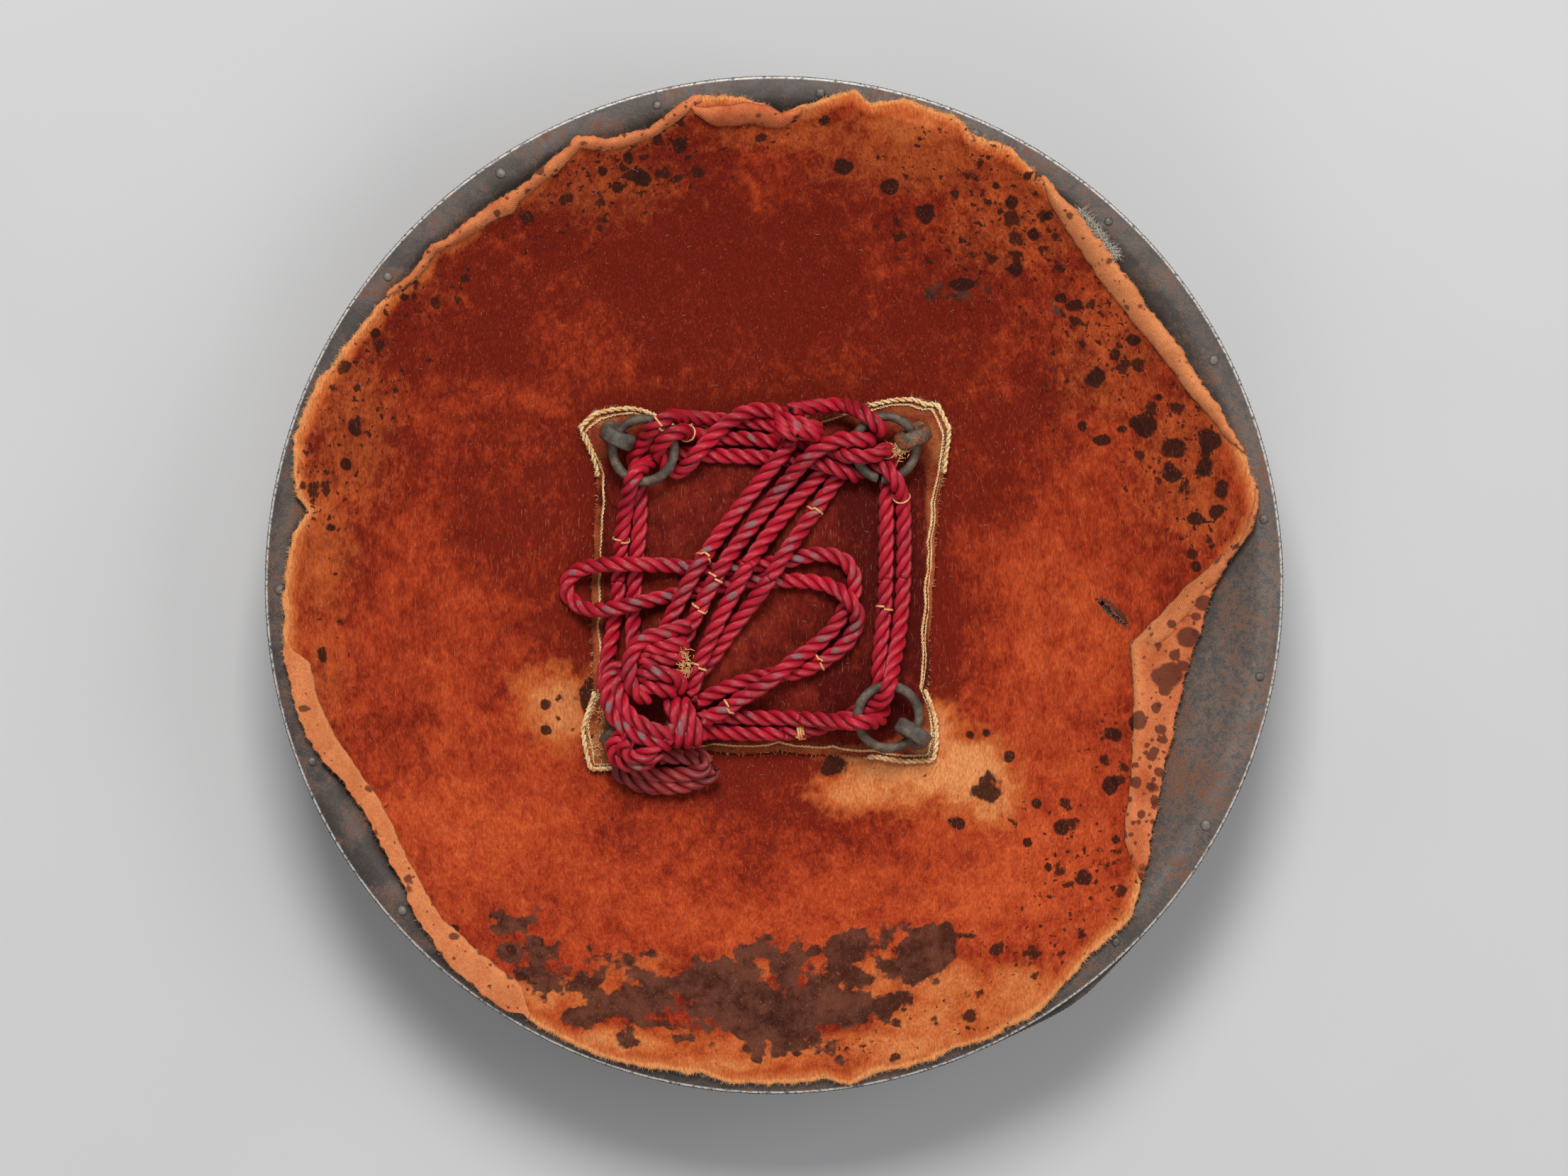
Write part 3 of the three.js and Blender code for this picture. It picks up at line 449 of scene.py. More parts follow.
def silk_look(name, deep, bright, shadow, painted_highlight, grey):
    """Twisted silk: yarns wind round each strand, and the tops are worn grey in places."""
    look = Look(name, Roughness=0.32, Sheen_Weight=0.03, Sheen_Roughness=0.4, Specular_IOR_Level=0.5)
    yarns = look.bands("DIAGONAL", 1.25, 1.4, look.node("TexCoord", "UV", {}))
    fine = look.noise(0.9, 3, 0.7)
    top = look.mark("groove")
    colour = look.mix(look.range(look.noise(16, 3, 0.6), 0.3, 0.7), deep, bright)
    colour = look.mix(look.range(top, 0.14, 0.62), shadow, colour)
    # Painted highlight: a light colour along the yarns on the outer faces of the strands
    highlight_share = look.range(yarns, 0.1, 0.8, 0.3, 1) * look.range(top, 0.7, 1, 0, 0.42)
    colour = look.mix(highlight_share, colour, painted_highlight)
    patch = look.mark("worn") + (look.noise(2.2, 4, 0.7) - 0.5) * 0.5
    colour = look.mix(look.range(patch, 0.55, 0.8) * grey, colour, rgb(128, 104, 106))
    colour = look.worn_down(fine, 0.2, 0.6, colour, 0.3, rgb(70, 4, 14))
    return look.done(colour, None, look.bump(yarns + fine * 0.6, 0.16, 0.7))


silk = silk_look("silk_cord", rgb(142, 4, 24), rgb(194, 8, 40), rgb(44, 0, 8), rgb(238, 48, 78), 0.85)
# The hank's silk: a darker copy of the silk, painted shade
shaded_silk = silk_look("silk_cord_shaded", rgb(118, 22, 24), rgb(156, 36, 38), rgb(52, 8, 8),
                     rgb(186, 86, 84), 0.3)


# Camera: straight down on the hollow side, the rim filling the photograph's frame as it does there
STAND_OFF = 4.0
SENSOR = 36
view = bpy.data.cameras.new("camera")
view.sensor_width = SENSOR
view.lens = SENSOR * STAND_OFF / (PHOTO_SIZE[0] * PIXEL * MM)
view.clip_end = 100
camera = bpy.data.objects.new("camera", view)
view_x, view_y = at(PHOTO_SIZE[0] / 2, PHOTO_SIZE[1] / 2)
camera.location = (view_x * MM, view_y * MM, RIM_HEIGHT * MM + STAND_OFF)
bpy.context.scene.collection.objects.link(camera)
bpy.context.scene.camera = camera

# Lamps: place in metres, size, power and colour. All of them point at the middle of the shield
LAMPS = {
    "key": ((-0.1, 1.8, 3.0), 1.2, 94, (1.0, 0.985, 0.96)),
    "fill": ((1.9, 0.2, 2.2), 1.6, 14, (0.96, 0.98, 1.0)),
    "low": ((-0.3, -2.2, 2.2), 1.6, 12, (1.0, 0.98, 0.96)),
}
for name, (place, size, power, colour) in LAMPS.items():
    data = bpy.data.lights.new(name, "AREA")
    data.size, data.energy, data.color = size, power, colour
    lamp = bpy.data.objects.new(name, data)
    lamp.location = place
    lamp.rotation_euler = (Vector((0, 0, 0.04)) - Vector(place)).to_track_quat("-Z", "Y").to_euler()
    bpy.context.scene.collection.objects.link(lamp)
world = bpy.data.worlds.new("studio")
world.use_nodes = True
world.node_tree.nodes["Background"].inputs["Color"].default_value = (0.97, 0.98, 1.0, 1)
world.node_tree.nodes["Background"].inputs["Strength"].default_value = 0.3
bpy.context.scene.world = world
bpy.context.scene.view_settings.view_transform = "Standard"

FLOOR_HALF = 6000
ground = Look("floor_grey", Roughness=0.95)
ground.done(ground.mix(ground.noise(160, 2, 0.4), rgb(196, 196, 197), rgb(204, 204, 205)), None,
            ground.bump(ground.noise(1.2, 2), 0.05, 0.3))
corners = [(FLOOR_HALF * sx, FLOOR_HALF * sy, 0) for sx, sy in ((-1, -1), (1, -1), (1, 1), (-1, 1))]
floor = make("floor", corners, [[0, 1, 2, 3]], ground.material, False)


# Cords: three strands of silk laid up along each route. The routes have the same points as the solids
CORDS = {
    "lacing_1": [
        [-77.3, -46.2, 47.2], [-77.2, -40.3, 42.7], [-75.6, -30.1, 37.2], [-73.6, -19.3, 33.9],
        [-71.9, -10.3, 33.4], [-71.3, 1.1, 33.6], [-70.2, 14.8, 34.1], [-69.8, 21.5, 35.2],
        [-68.7, 30, 38.3], [-67.6, 36, 41.7], [-65.6, 45, 48.9], [-64.9, 47.2, 49.8], [-64, 49.4, 49.8],
        [-62.9, 51.4, 48.9], [-61.9, 52.8, 47.3], [-57.3, 55.7, 39.4], [-54.9, 58, 36.2],
        [-53, 59.1, 35.4], [-48.5, 60.1, 35.3], [-37, 59.7, 35.4], [-23, 59.1, 35.4],
        [-11.3, 58.7, 35.3], [2.6, 57.8, 35.4], [11.5, 57.1, 37.9], [17.7, 56.5, 41.1],
        [21.6, 55.5, 43.5], [30.4, 52.4, 44.1], [34.6, 50.9, 42.7], [36.1, 50.1, 41.1],
        [37.6, 50.4, 39.4], [41, 52.6, 37.8], [44.5, 54.8, 39.1], [45.9, 55.5, 40.7], [47.1, 55.5, 42.6],
        [52, 52.7, 46.4], [54.7, 49.3, 47.5], [55.7, 47.4, 47.1], [56.5, 45.6, 45.9], [58.3, 39.7, 39.6],
        [59.2, 32.1, 35.5], [59.4, 25.7, 34.3], [59.5, 16.9, 34.1], [59.3, 8, 34], [59, -0.9, 34.1],
        [58.2, -12.1, 34.4], [57.4, -18.8, 35.4], [56.6, -25.3, 37.3], [55.4, -31.4, 40.2],
        [52.5, -44.8, 49.2], [52, -47.1, 49.4], [50.3, -51.1, 47.4], [46.3, -54.2, 42.6],
        [37.3, -58.4, 37], [29.4, -61.9, 34.6], [16.7, -66.1, 33.1], [3.2, -67.8, 32.2], [-6, -68, 32.1],
        [-15.2, -67.9, 32.3], [-24.3, -67.4, 33.8], [-33.2, -66.8, 36.9], [-38.9, -66.9, 42.2],
    ],
    "lacing_2": [
        [12.5, 71.8, 42.4], [10.4, 74, 38.4], [2.8, 78.8, 36.7], [-1.4, 79.9, 35.8], [-7.8, 80.2, 35.2],
        [-13.9, 78.8, 36], [-20.8, 74.5, 37.5], [-24, 72, 38.9], [-26.8, 69.2, 40.2],
        [-29.6, 66.2, 40.5], [-35, 60.3, 43], [-38.6, 55.6, 41.7], [-41.2, 53.3, 39.5],
        [-44.4, 52, 37.6], [-46.3, 52.3, 37.3], [-48.1, 52.9, 38], [-49.2, 53.7, 39.4],
        [-49.7, 54.9, 40.9], [-50.8, 58.2, 42.7], [-53.1, 60.9, 44.4], [-52.5, 62.9, 47.7],
        [-49.9, 66, 52.2], [-46.6, 68.3, 53.2], [-44.8, 69.2, 52.7], [-41.9, 70.1, 49.7],
        [-39.7, 69.3, 41.7], [-36.9, 68.8, 36.3], [-34, 68.5, 33.6], [-30.1, 68.1, 32.7],
        [-26, 67.4, 32.8], [-13.4, 67.1, 32.6], [1.8, 65.4, 33.2], [10.6, 64.9, 35], [16.9, 64.1, 37.5],
        [24.8, 62.3, 42.1], [28.6, 60.9, 44.6], [33.2, 59, 50], [35.5, 58.7, 51], [38, 58.6, 51.2],
        [43, 58.5, 50.1], [47.8, 60, 48.9], [49.5, 61.2, 47.2], [50.9, 61.6, 45], [52.1, 61.2, 42.7],
        [53.1, 58, 38.8], [52.1, 51, 36], [51.9, 48.5, 35.6], [51.3, 36.1, 36.2], [51.3, 26.3, 36.2],
        [51.2, 16.5, 36.2], [51.1, 6.9, 36.2], [50.8, -2.7, 36.2], [49.5, -19.3, 36.6],
        [48.6, -28.6, 36.8], [48, -37.9, 36.7], [48.2, -47.1, 36.1], [49.4, -53.8, 35.5],
        [49.6, -58.1, 36.7], [49.2, -59.9, 38.2], [47.3, -61.8, 41.8], [42.2, -62.4, 49.8],
        [40.2, -62.5, 51], [37.8, -62.7, 51.3], [35.5, -62.7, 50.7], [28.1, -62.2, 44.8],
        [22, -61.7, 41.4], [6.7, -60.8, 36.1], [-4.8, -60.7, 34.8], [-18.8, -60.1, 35],
        [-33.4, -59.3, 36.1],
    ],
    "lacing_3": [
        [-63.8, -34.4, 45.4], [-64.3, -29.5, 42.6], [-64.6, -21.3, 38.4], [-64.4, -10.3, 35.5],
        [-63.8, 1.2, 35.6], [-62.8, 12.5, 35.9], [-61.8, 23.8, 36.2], [-61.2, 34.9, 36.4],
        [-61.9, 45.9, 35.9], [-63.9, 54.4, 35.7], [-64, 58.5, 37], [-63.3, 60.3, 38.1],
        [-58.9, 65.9, 43.4], [-55.9, 70.7, 50.4], [-54.5, 72, 51.8], [-51, 74.8, 52.4],
        [-47.6, 76.6, 50], [-43.2, 76.6, 42.3], [-39.1, 76.5, 37.2], [-35.7, 76.4, 34.5],
        [-29.8, 76, 31.6], [-23.4, 75.5, 30], [-14.6, 74.8, 29.4], [-7.9, 74.3, 30.1], [1.7, 72.8, 32.6],
    ],
    "diagonal_1": [
        [6.8, 67, 45.8], [6.8, 63.9, 42.1], [1, 56.4, 42.8], [-4.8, 49.3, 40], [-10.7, 42, 38.7],
        [-20.7, 28.8, 39.3], [-26.2, 21.2, 41], [-35, 8.1, 46.6], [-42, -4.6, 46.2],
        [-46.2, -13.1, 45.2], [-51.8, -26, 46.7], [-52.3, -31.2, 49.6],
    ],
    "diagonal_2": [
        [7.6, 79.5, 47.3], [8.7, 79.7, 46.1], [15.3, 80.8, 40.3], [20.6, 81.7, 36.9], [24.5, 82.2, 35.4],
        [28.4, 82.4, 35.2], [30.3, 82.4, 36], [33.2, 81.9, 38.6], [41.5, 78.1, 50], [44.6, 75.2, 51.2],
        [46.1, 73.6, 50.7], [48.4, 71.2, 47.7], [48.5, 70.6, 45.5], [47.9, 70.5, 43.4], [45, 70.2, 40.1],
        [39.7, 68.5, 36.8], [32.3, 64.6, 34.6], [27.3, 60.4, 35], [24.4, 57.1, 35.8], [21.4, 51.4, 36.8],
        [11.2, 40.3, 38.4], [5.4, 33.4, 39], [-0.1, 26.3, 39.9], [-5.4, 19.1, 42.5], [-11.5, 10, 47],
        [-17.1, -0.7, 47.1], [-22.7, -11, 44.4], [-26.9, -19.5, 43.7], [-33.6, -34.7, 45.6],
        [-35.7, -41.5, 45.8], [-37.6, -48.4, 45.2], [-38.6, -51.6, 47.4],
    ],
    "diagonal_3": [
        [-43.6, -33.4, 47.4], [-42.5, -29.6, 46.7], [-41.3, -26.2, 45.8], [-37.6, -17.6, 44.9],
        [-34.5, -11.3, 45.1], [-29, -0.9, 47], [-23.1, 9.5, 46.8], [-18, 16.7, 43.2], [-12.6, 24, 40.6],
        [-7, 31.4, 39.5], [-1.3, 38.7, 39.7], [7.3, 49, 42.8], [15.6, 58.4, 48.6], [25, 64.5, 50.4],
        [31.3, 66.5, 51], [37.9, 66.3, 51.8], [41.9, 66.1, 49.9], [43, 65.9, 48], [42.8, 64, 44.1],
        [39.6, 61.1, 39.5], [35.1, 57.6, 36.8], [32.2, 54.7, 36.2], [28, 47.5, 37.4], [21.8, 38.8, 38.5],
        [14.3, 27.9, 39.8], [10.6, 22.5, 41.8], [4.4, 13.8, 46.6], [2, 9.7, 47.1], [-4.2, -0.5, 46.8],
        [-10.9, -9.2, 42.2], [-17.8, -18.4, 39.7], [-23.3, -26, 39.3], [-28.7, -33.6, 38.9],
        [-37.8, -44.4, 37.9], [-43.3, -53.2, 40.1],
    ],
    "bight": [
        [-36.1, -54, 40.5], [-27.4, -49.6, 37.9], [-21.1, -46.8, 37.7], [-6, -41.6, 38.2],
        [5.1, -40.7, 38.3], [11.6, -39.4, 38.5], [17.8, -37, 38.7], [25.4, -32.9, 38.8],
        [32, -27.6, 38.7], [34.6, -24.3, 38.6], [36.5, -20.7, 39.1], [38, -15.2, 41.8],
        [36.8, -10.1, 45.3], [34.4, -6.7, 46], [32.9, -5.2, 45.5], [28.6, -1.9, 42.1], [25, -0.3, 40.5],
        [18.9, 1.3, 39.5], [8.1, 2.1, 39.6], [-5.1, 1.9, 39.6], [-18.4, 0.3, 39.6], [-31.8, -1.8, 39.3],
        [-47.2, -4.7, 38.5], [-53.7, -6.3, 39.4], [-64, -8.8, 43], [-74.6, -10.8, 40.5],
        [-84.6, -11.1, 33], [-87.9, -10.2, 30.8], [-91.1, -8.4, 29.1], [-93.8, -5.6, 28.7],
        [-95.2, -1.9, 29], [-94.5, 2, 28.9], [-92.1, 5.1, 28.8], [-88.8, 7.1, 30.1], [-85.4, 8.3, 32.1],
        [-75.4, 9.6, 39.6], [-73.6, 9.6, 40.8], [-64.9, 9.5, 43.1], [-60.4, 9.4, 42.9],
        [-54.2, 9.2, 40.3], [-47.6, 8.9, 38.9], [-34.1, 7.5, 39.1], [-22.9, 7.5, 39.5],
        [-9.6, 8.9, 39.6], [5.7, 11, 39.6], [14, 13.3, 39.6], [20.3, 14.1, 39.4], [28.5, 13, 39],
        [33.6, 9.8, 38.7], [36.5, 4.5, 38.4], [36.9, 0.4, 38.4], [36.4, -3.6, 38.4], [35.8, -5.6, 38.4],
        [33.3, -8.9, 38.6], [29.4, -16.4, 39], [25.4, -21.4, 39.2], [19.1, -27.3, 39.7],
        [7.1, -35.9, 44.6], [1.9, -40.3, 45.9], [-3.4, -44.8, 45], [-15, -51.8, 42.2],
        [-29, -60.3, 42.9], [-34.3, -61.7, 46.3],
    ],
}
STEP = 1.15
KNOT_STEP = 1.0
LAY = 21.5
STRAND_OUT = 1.95
STRAND_RADIUS = 1.84
STRAND_SIDES = 9
CURVE_STEPS = 24


def along(line):
    """The distance run along a line at each of its points."""
    return np.concatenate([[0], np.cumsum(np.linalg.norm(np.diff(line, axis=0), axis=1))])


def smooth_path(points, step):
    """A centripetal Catmull-Rom curve through points, at even steps."""
    p = np.array(points, float)
    p = np.vstack([2 * p[0] - p[1], p, 2 * p[-1] - p[-2]])
    out = []
    for i in range(1, len(p) - 2):
        p0, p1, p2, p3 = p[i - 1:i + 3]
        t0 = 0.0
        t1 = t0 + np.linalg.norm(p1 - p0) ** 0.5
        t2 = t1 + np.linalg.norm(p2 - p1) ** 0.5
        t3 = t2 + np.linalg.norm(p3 - p2) ** 0.5
        t = np.linspace(t1, t2, CURVE_STEPS, endpoint=False)[:, None]
        a1 = (t1 - t) / (t1 - t0) * p0 + (t - t0) / (t1 - t0) * p1
        a2 = (t2 - t) / (t2 - t1) * p1 + (t - t1) / (t2 - t1) * p2
        a3 = (t3 - t) / (t3 - t2) * p2 + (t - t2) / (t3 - t2) * p3
        b1 = (t2 - t) / (t2 - t0) * a1 + (t - t0) / (t2 - t0) * a2
        b2 = (t3 - t) / (t3 - t1) * a2 + (t - t1) / (t3 - t1) * a3
        out.append((t2 - t) / (t2 - t1) * b1 + (t - t1) / (t2 - t1) * b2)
    line = np.vstack(out + [p[-2:-1]])
    run = along(line)
    even = np.linspace(0, run[-1], max(int(run[-1] / step), 4) + 1)
    return np.stack([np.interp(even, run, line[:, k]) for k in range(3)], 1)


def carried_frame(line):
    """Tangents, and a side direction carried along the line without twisting."""
    tangent = unit(np.gradient(line, axis=0))
    side = np.empty_like(line)
    first = np.array([0, 0, 1.0]) - tangent[0] * tangent[0][2]
    if np.linalg.norm(first) < 0.1:
        first = np.array([1.0, 0, 0]) - tangent[0] * tangent[0][0]
    side[0] = unit(first)
    for i in range(1, len(line)):
        side[i] = unit(side[i - 1] - tangent[i] * side[i - 1].dot(tangent[i]))
    return tangent, side, np.cross(tangent, side)


def tube(centre, radial, theta, fat):
    """Rings of points round a line, from the direction that is up on each ring."""
    own = unit(np.gradient(centre, axis=0))
    up = unit(radial - own * (radial * own).sum(1)[:, None])
    over = np.cross(own, up)
    c, s = np.cos(theta)[None, :, None], np.sin(theta)[None, :, None]
    return centre[:, None] + fat * (c * up[:, None] + s * over[:, None])


def rope(line, start=0.0, worn=None, out=STRAND_OUT, radius=STRAND_RADIUS, lay=LAY, strands=3, frame=None):
    """Mesh data of a laid rope on an evenly stepped line: points, faces, groove and worn marks, and UV."""
    run = along(line) + start
    _, side, across = frame or carried_frame(line)
    points, faces, grey = [], [], []
    count, sides = len(line), STRAND_SIDES
    theta = angles(sides) + math.pi
    patches = np.zeros(count) if worn is None else worn(run)
    for k in range(strands):
        turn = TURN * run / lay + k * TURN / strands
        radial = np.cos(turn)[:, None] * side + np.sin(turn)[:, None] * across
        swell = 1 + 0.05 * wobble(pairs(run, np.full(count, 13.0 * k)), 9, 60 + k, 2)
        ring = tube(line + out * radial, radial, theta, radius * swell[:, None, None]).reshape(-1, 3)
        base = k * count * sides
        points.append(ring)
        faces += grid_faces(count, sides, closed=True, start=base).tolist()
        faces += [list(range(base, base + sides))[::-1],
                  list(range(base + (count - 1) * sides, base + count * sides))]
        top = np.clip(ring[:, 2] - np.repeat(line[:, 2], sides), 0, 4) / 3.6
        grey.append(np.repeat(patches, sides) * smooth(0.3, 0.95, top))
    groove = np.tile((np.cos(theta) + 1) / 2, count * strands)
    uv = np.tile(pairs(np.repeat(run, sides), np.tile(theta * radius, count)), (strands, 1))
    return np.vstack(points), faces, groove, np.concatenate(grey), uv


def patchy(amount, seed):
    """Worn stretches: a value along the run, in patches about a strand's turn long."""
    def worn(run):
        grid = pairs(run, np.full(len(run), 7.7 * seed))
        short, long = wobble(grid, 4.5, 80 + seed, 2), wobble(grid, 22, 90 + seed, 2)
        return np.clip(amount + 0.55 * short + 0.35 * long, 0, 1)
    return worn


# Where the handle's corners turn: direction from the middle, start and end of the soft turn,
# and how far out a cord belongs to its corner
TURNS = {
    "top_left": ((-0.667, 0.745), 55, 76, 60.5),
    "top_right": ((0.66, 0.751), 65, 80, 66.5),
    "bottom_right": ((0.684, -0.73), 55, 76, 60.5),
    "bottom_left": ((-0.692, -0.722), 56, 80, 60.5),
}
CORNER_WIDTH = 42
SHORTEST = 46


def follow(piece):
    """The piece's placement is baked into its mesh; it is attached to no body."""
    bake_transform(piece)


def corner_of(point):
    for corner, ((dx, dy), _, _, far) in TURNS.items():
        reach = (point[0] - HANDLE_X) * dx + point[1] * dy
        off = abs(-(point[0] - HANDLE_X) * dy + point[1] * dx)
        if reach > far and off < CORNER_WIDTH:
            return corner
    return None


def runs_of(line):
    """Stretches of a cord by the corner that carries them, cut halfway between corners."""
    run = along(line)
    anchors = []
    for i, label in enumerate(corner_of(p) for p in line):
        if label and (not anchors or anchors[-1][0] != label):
            anchors.append([label, i, i])
        elif label:
            anchors[-1][2] = i
    if not anchors:
        return [(None, 0, len(line) - 1)]
    if anchors[0][2] - anchors[0][1] > 0.6 * len(line):
        cut = int(np.searchsorted(run, run[-1] - 2 * SHORTEST))
        return [(None, 0, cut), (anchors[0][0], cut, len(line) - 1)]
    low = int(np.searchsorted(run, SHORTEST))
    high = int(np.searchsorted(run, run[-1] - SHORTEST)) - 1
    cuts = [0]
    for (_, _, last), (_, first, _) in zip(anchors, anchors[1:]):
        cut = (last + first) // 2
        cuts.append(max(last + 1, min(first - 1, max(low, min(cut, high)))))
    cuts.append(len(line) - 1)
    return [(anchor[0], a, b) for anchor, a, b in zip(anchors, cuts, cuts[1:])]


# Cream thread whipped round the cord in a few places: distances along each cord, and turns where
# there are more than one
WHIPPINGS = {
    "lacing_1": {70: 1, 258: 1, 400: 3},
    "lacing_2": {118: 1, 226: 1, 300: 1},
    "lacing_3": {120: 1},
    "diagonal_1": {70: 1},
    "diagonal_2": {96: 1, 205: 1},
    "diagonal_3": {24: 1, 40: 1, 190: 1},
    "bight": {60: 1, 400: 1, 478: 1},
}
WHIP_MARGIN, WHIP_OUT, WHIP_RADIUS, WHIP_STEP = 6, 3.84, 0.36, 1.1
WHIP_STEPS, WHIP_SIDES = 26, 5
# How much of each cord is worn grey
GREY_SHARES = {"lacing_1": 0.28, "lacing_2": 0.3, "lacing_3": 0.2, "diagonal_1": 0.5, "diagonal_2": 0.46,
               "diagonal_3": 0.52, "bight": 0.56}


def whip(line, place, turns):
    """Fine thread wound round a cord at a place on it."""
    _, side, across = carried_frame(line)
    t = np.linspace(0, turns * TURN, WHIP_STEPS * turns)
    index = np.clip(np.searchsorted(along(line), place + t / TURN * WHIP_STEP), 0, len(line) - 1)
    radial = np.cos(t)[:, None] * side[index] + np.sin(t)[:, None] * across[index]
    centre = line[index] + (WHIP_OUT + 0.12 * np.sin(3 * t))[:, None] * radial
    own, up = unit(np.gradient(centre, axis=0)), unit(radial)
    over = np.cross(own, up)
    theta = angles(WHIP_SIDES)
    c, s = np.cos(theta)[None, :, None], np.sin(theta)[None, :, None]
    ring = centre[:, None] + WHIP_RADIUS * (c * up[:, None] + s * over[:, None] * 1.5)
    return ring.reshape(-1, 3), grid_faces(len(t), WHIP_SIDES, closed=True).tolist()


cord_pieces = {}
for number, (name, route) in enumerate(CORDS.items()):
    line = smooth_path(route, STEP)
    run = along(line)
    worn = patchy(GREY_SHARES[name], number)
    whole_frame = carried_frame(line)
    for part, (corner, a, b) in enumerate(runs_of(line)):
        stretch = line[a:b + 1]
        frame = tuple(way[a:b + 1] for way in whole_frame)
        points, faces, groove, grey, uv = rope(stretch, run[a], worn, frame=frame)
        whips = [whip(stretch, place - run[a], turns) for place, turns in WHIPPINGS[name].items()
                 if run[a] + WHIP_MARGIN < place < run[b] - WHIP_MARGIN]
        face_looks = [0] * len(faces) + [1] * sum(len(f) for _, f in whips)
        points, faces = join([(points, faces), *whips])
        more = len(points) - len(uv)
        marks = {"groove": np.pad(groove, (0, more), constant_values=1), "worn": np.pad(grey, (0, more))}
        piece = make(f"silk_{name}_{part + 1}", points, faces, [silk, whipping], marks=marks,
                     uv=np.pad(uv, ((0, more), (0, 0))), face_looks=face_looks)
        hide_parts(name)
        if corner:
            follow(piece)
        else:
            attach(piece, "shield")
        cord_pieces[name, part] = (piece, stretch)


# Knots
DETAIL_CORNER, DETAIL_SCALE = (820, 860), 6.029
COIL_STEPS, HANK_STEPS = 14, 16


def traced(points):
    """Places and heights read off an enlarged detail of the photograph."""
    left, top = DETAIL_CORNER
    return [[*at(left + x / DETAIL_SCALE, top + y / DETAIL_SCALE), z] for x, y, z in points]


def coil(centre, axis, radius_a, radius_b, turns, travel, start, lean):
    """Points of a coil about the image's X or Y axis."""
    t = np.linspace(0, turns * TURN, int(turns * COIL_STEPS)) + start
    slide = np.linspace(-travel / 2, travel / 2, len(t))
    a, b = radius_a * np.cos(t), radius_b * np.sin(t)
    if axis == "y":
        return np.stack([centre[0] + a, centre[1] + slide + lean * a, centre[2] + b], 1)
    return np.stack([centre[0] + slide + lean * a, centre[1] + a, centre[2] + b], 1)


def hank_loop(centre, half_x, half_y, lift, phase, turns=1.0):
    t = np.linspace(0, turns * TURN, int(HANK_STEPS * turns)) + phase
    return np.stack([centre[0] + half_x * np.cos(t), centre[1] + half_y * np.sin(t),
                     centre[2] + lift + 1.2 * np.sin(2 * t + phase)], 1)


KNOT_ROPES = {
    "knot_coil": [
        traced([(905, 130, 52), (800, 165, 55), (690, 200, 58), (570, 235, 60), (470, 300, 61),
                (415, 400, 61.5), (400, 520, 61), (415, 640, 59.5), (480, 735, 57), (560, 765, 54)]),
        traced([(870, 300, 52), (800, 300, 56.5), (680, 325, 58.5), (570, 335, 58), (500, 380, 56)]),
        traced([(860, 395, 51), (790, 410, 55.5), (680, 425, 57), (560, 430, 56.5), (480, 470, 55)]),
        traced([(845, 680, 50), (820, 600, 56), (740, 560, 60), (640, 540, 61), (550, 530, 60),
                (480, 560, 57)]),
        traced([(780, 700, 52), (700, 690, 56.5), (600, 660, 57.5), (520, 650, 56.5), (470, 690, 55)]),
    ],
    "knot_wrap": [
        traced([(330, 480, 53), (225, 560, 56), (205, 700, 58), (250, 880, 59.5), (360, 1010, 60),
                (510, 1090, 59.5), (650, 1130, 58), (745, 1145, 55)]),
        traced([(345, 560, 54.5), (300, 650, 57.5), (340, 800, 60), (420, 915, 61.5), (545, 1000, 61.5),
                (670, 1050, 59.5), (760, 1075, 56)]),
        traced([(395, 1075, 58), (290, 1110, 56.5), (255, 1200, 54), (300, 1290, 52.5),
                (420, 1330, 52.5), (560, 1300, 53.5), (650, 1210, 54.5)]),
        traced([(400, 1110, 61), (350, 1190, 58), (420, 1260, 57), (540, 1240, 57.5), (640, 1160, 57)]),
    ],
    "knot_end": [
        coil((-41.6, -62.8, 51.8), 'x', 8.4, 4.4, 3.2, 10.4, math.pi / 2, -0.36),
    ],
    "knot_hank": [
        hank_loop((-49.3, -84.0, 35.0), 22, 7.6, 0, 0.4, 1.0)[:-1],
        hank_loop((-48.6, -82.6, 36.4), 17, 4.2, 1.8, 2.2, 1.0)[:-1],
        hank_loop((-50.5, -87.4, 34.0), 17, 5.2, -1.0, 3.6, 0.6),
    ],
    "knot_top": [
        coil((10.8, 71.5, 51.6), 'y', 8.3, 3.8, 2.3, 5.6, math.pi / 2, -0.22),
    ],
}
knots = {}
for number, (name, routes) in enumerate(KNOT_ROPES.items()):
    # The hank takes the darker copy of the silk, painted shade, and less grey wear
    shaded_hank = name == "knot_hank"
    ropes = [rope(smooth_path(route, KNOT_STEP), 40.0 * k, patchy(0.1 if shaded_hank else 0.5, 20 + 3 * number + k))
             for k, route in enumerate(routes)]
    groove, grey, uv = (np.concatenate([laid[i] for laid in ropes]) for i in (2, 3, 4))
    knot = make(f"tied_{name}", *join([laid[:2] for laid in ropes]), shaded_silk if shaded_hank else silk,
                marks={"groove": groove, "worn": grey}, uv=uv)
    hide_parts(name)
    if name == "knot_top":
        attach(knot, "shield")
    else:
        follow(knot)
    knots[name] = knot

# What each cord carries: the knots at its first or last stretch are gathered in a list that nothing uses
FIRST_KNOTS = {"lacing_1": "knot_wrap", "lacing_2": "knot_top", "diagonal_3": "knot_coil"}
LAST_KNOTS = {"lacing_1": "knot_end", "bight": "knot_hank"}
for (name, part), (piece, stretch) in cord_pieces.items():
    last = (name, part + 1) not in cord_pieces
    held = [knots[FIRST_KNOTS[name]]] if part == 0 and name in FIRST_KNOTS else []
    held += [knots[LAST_KNOTS[name]]] if last and name in LAST_KNOTS else []


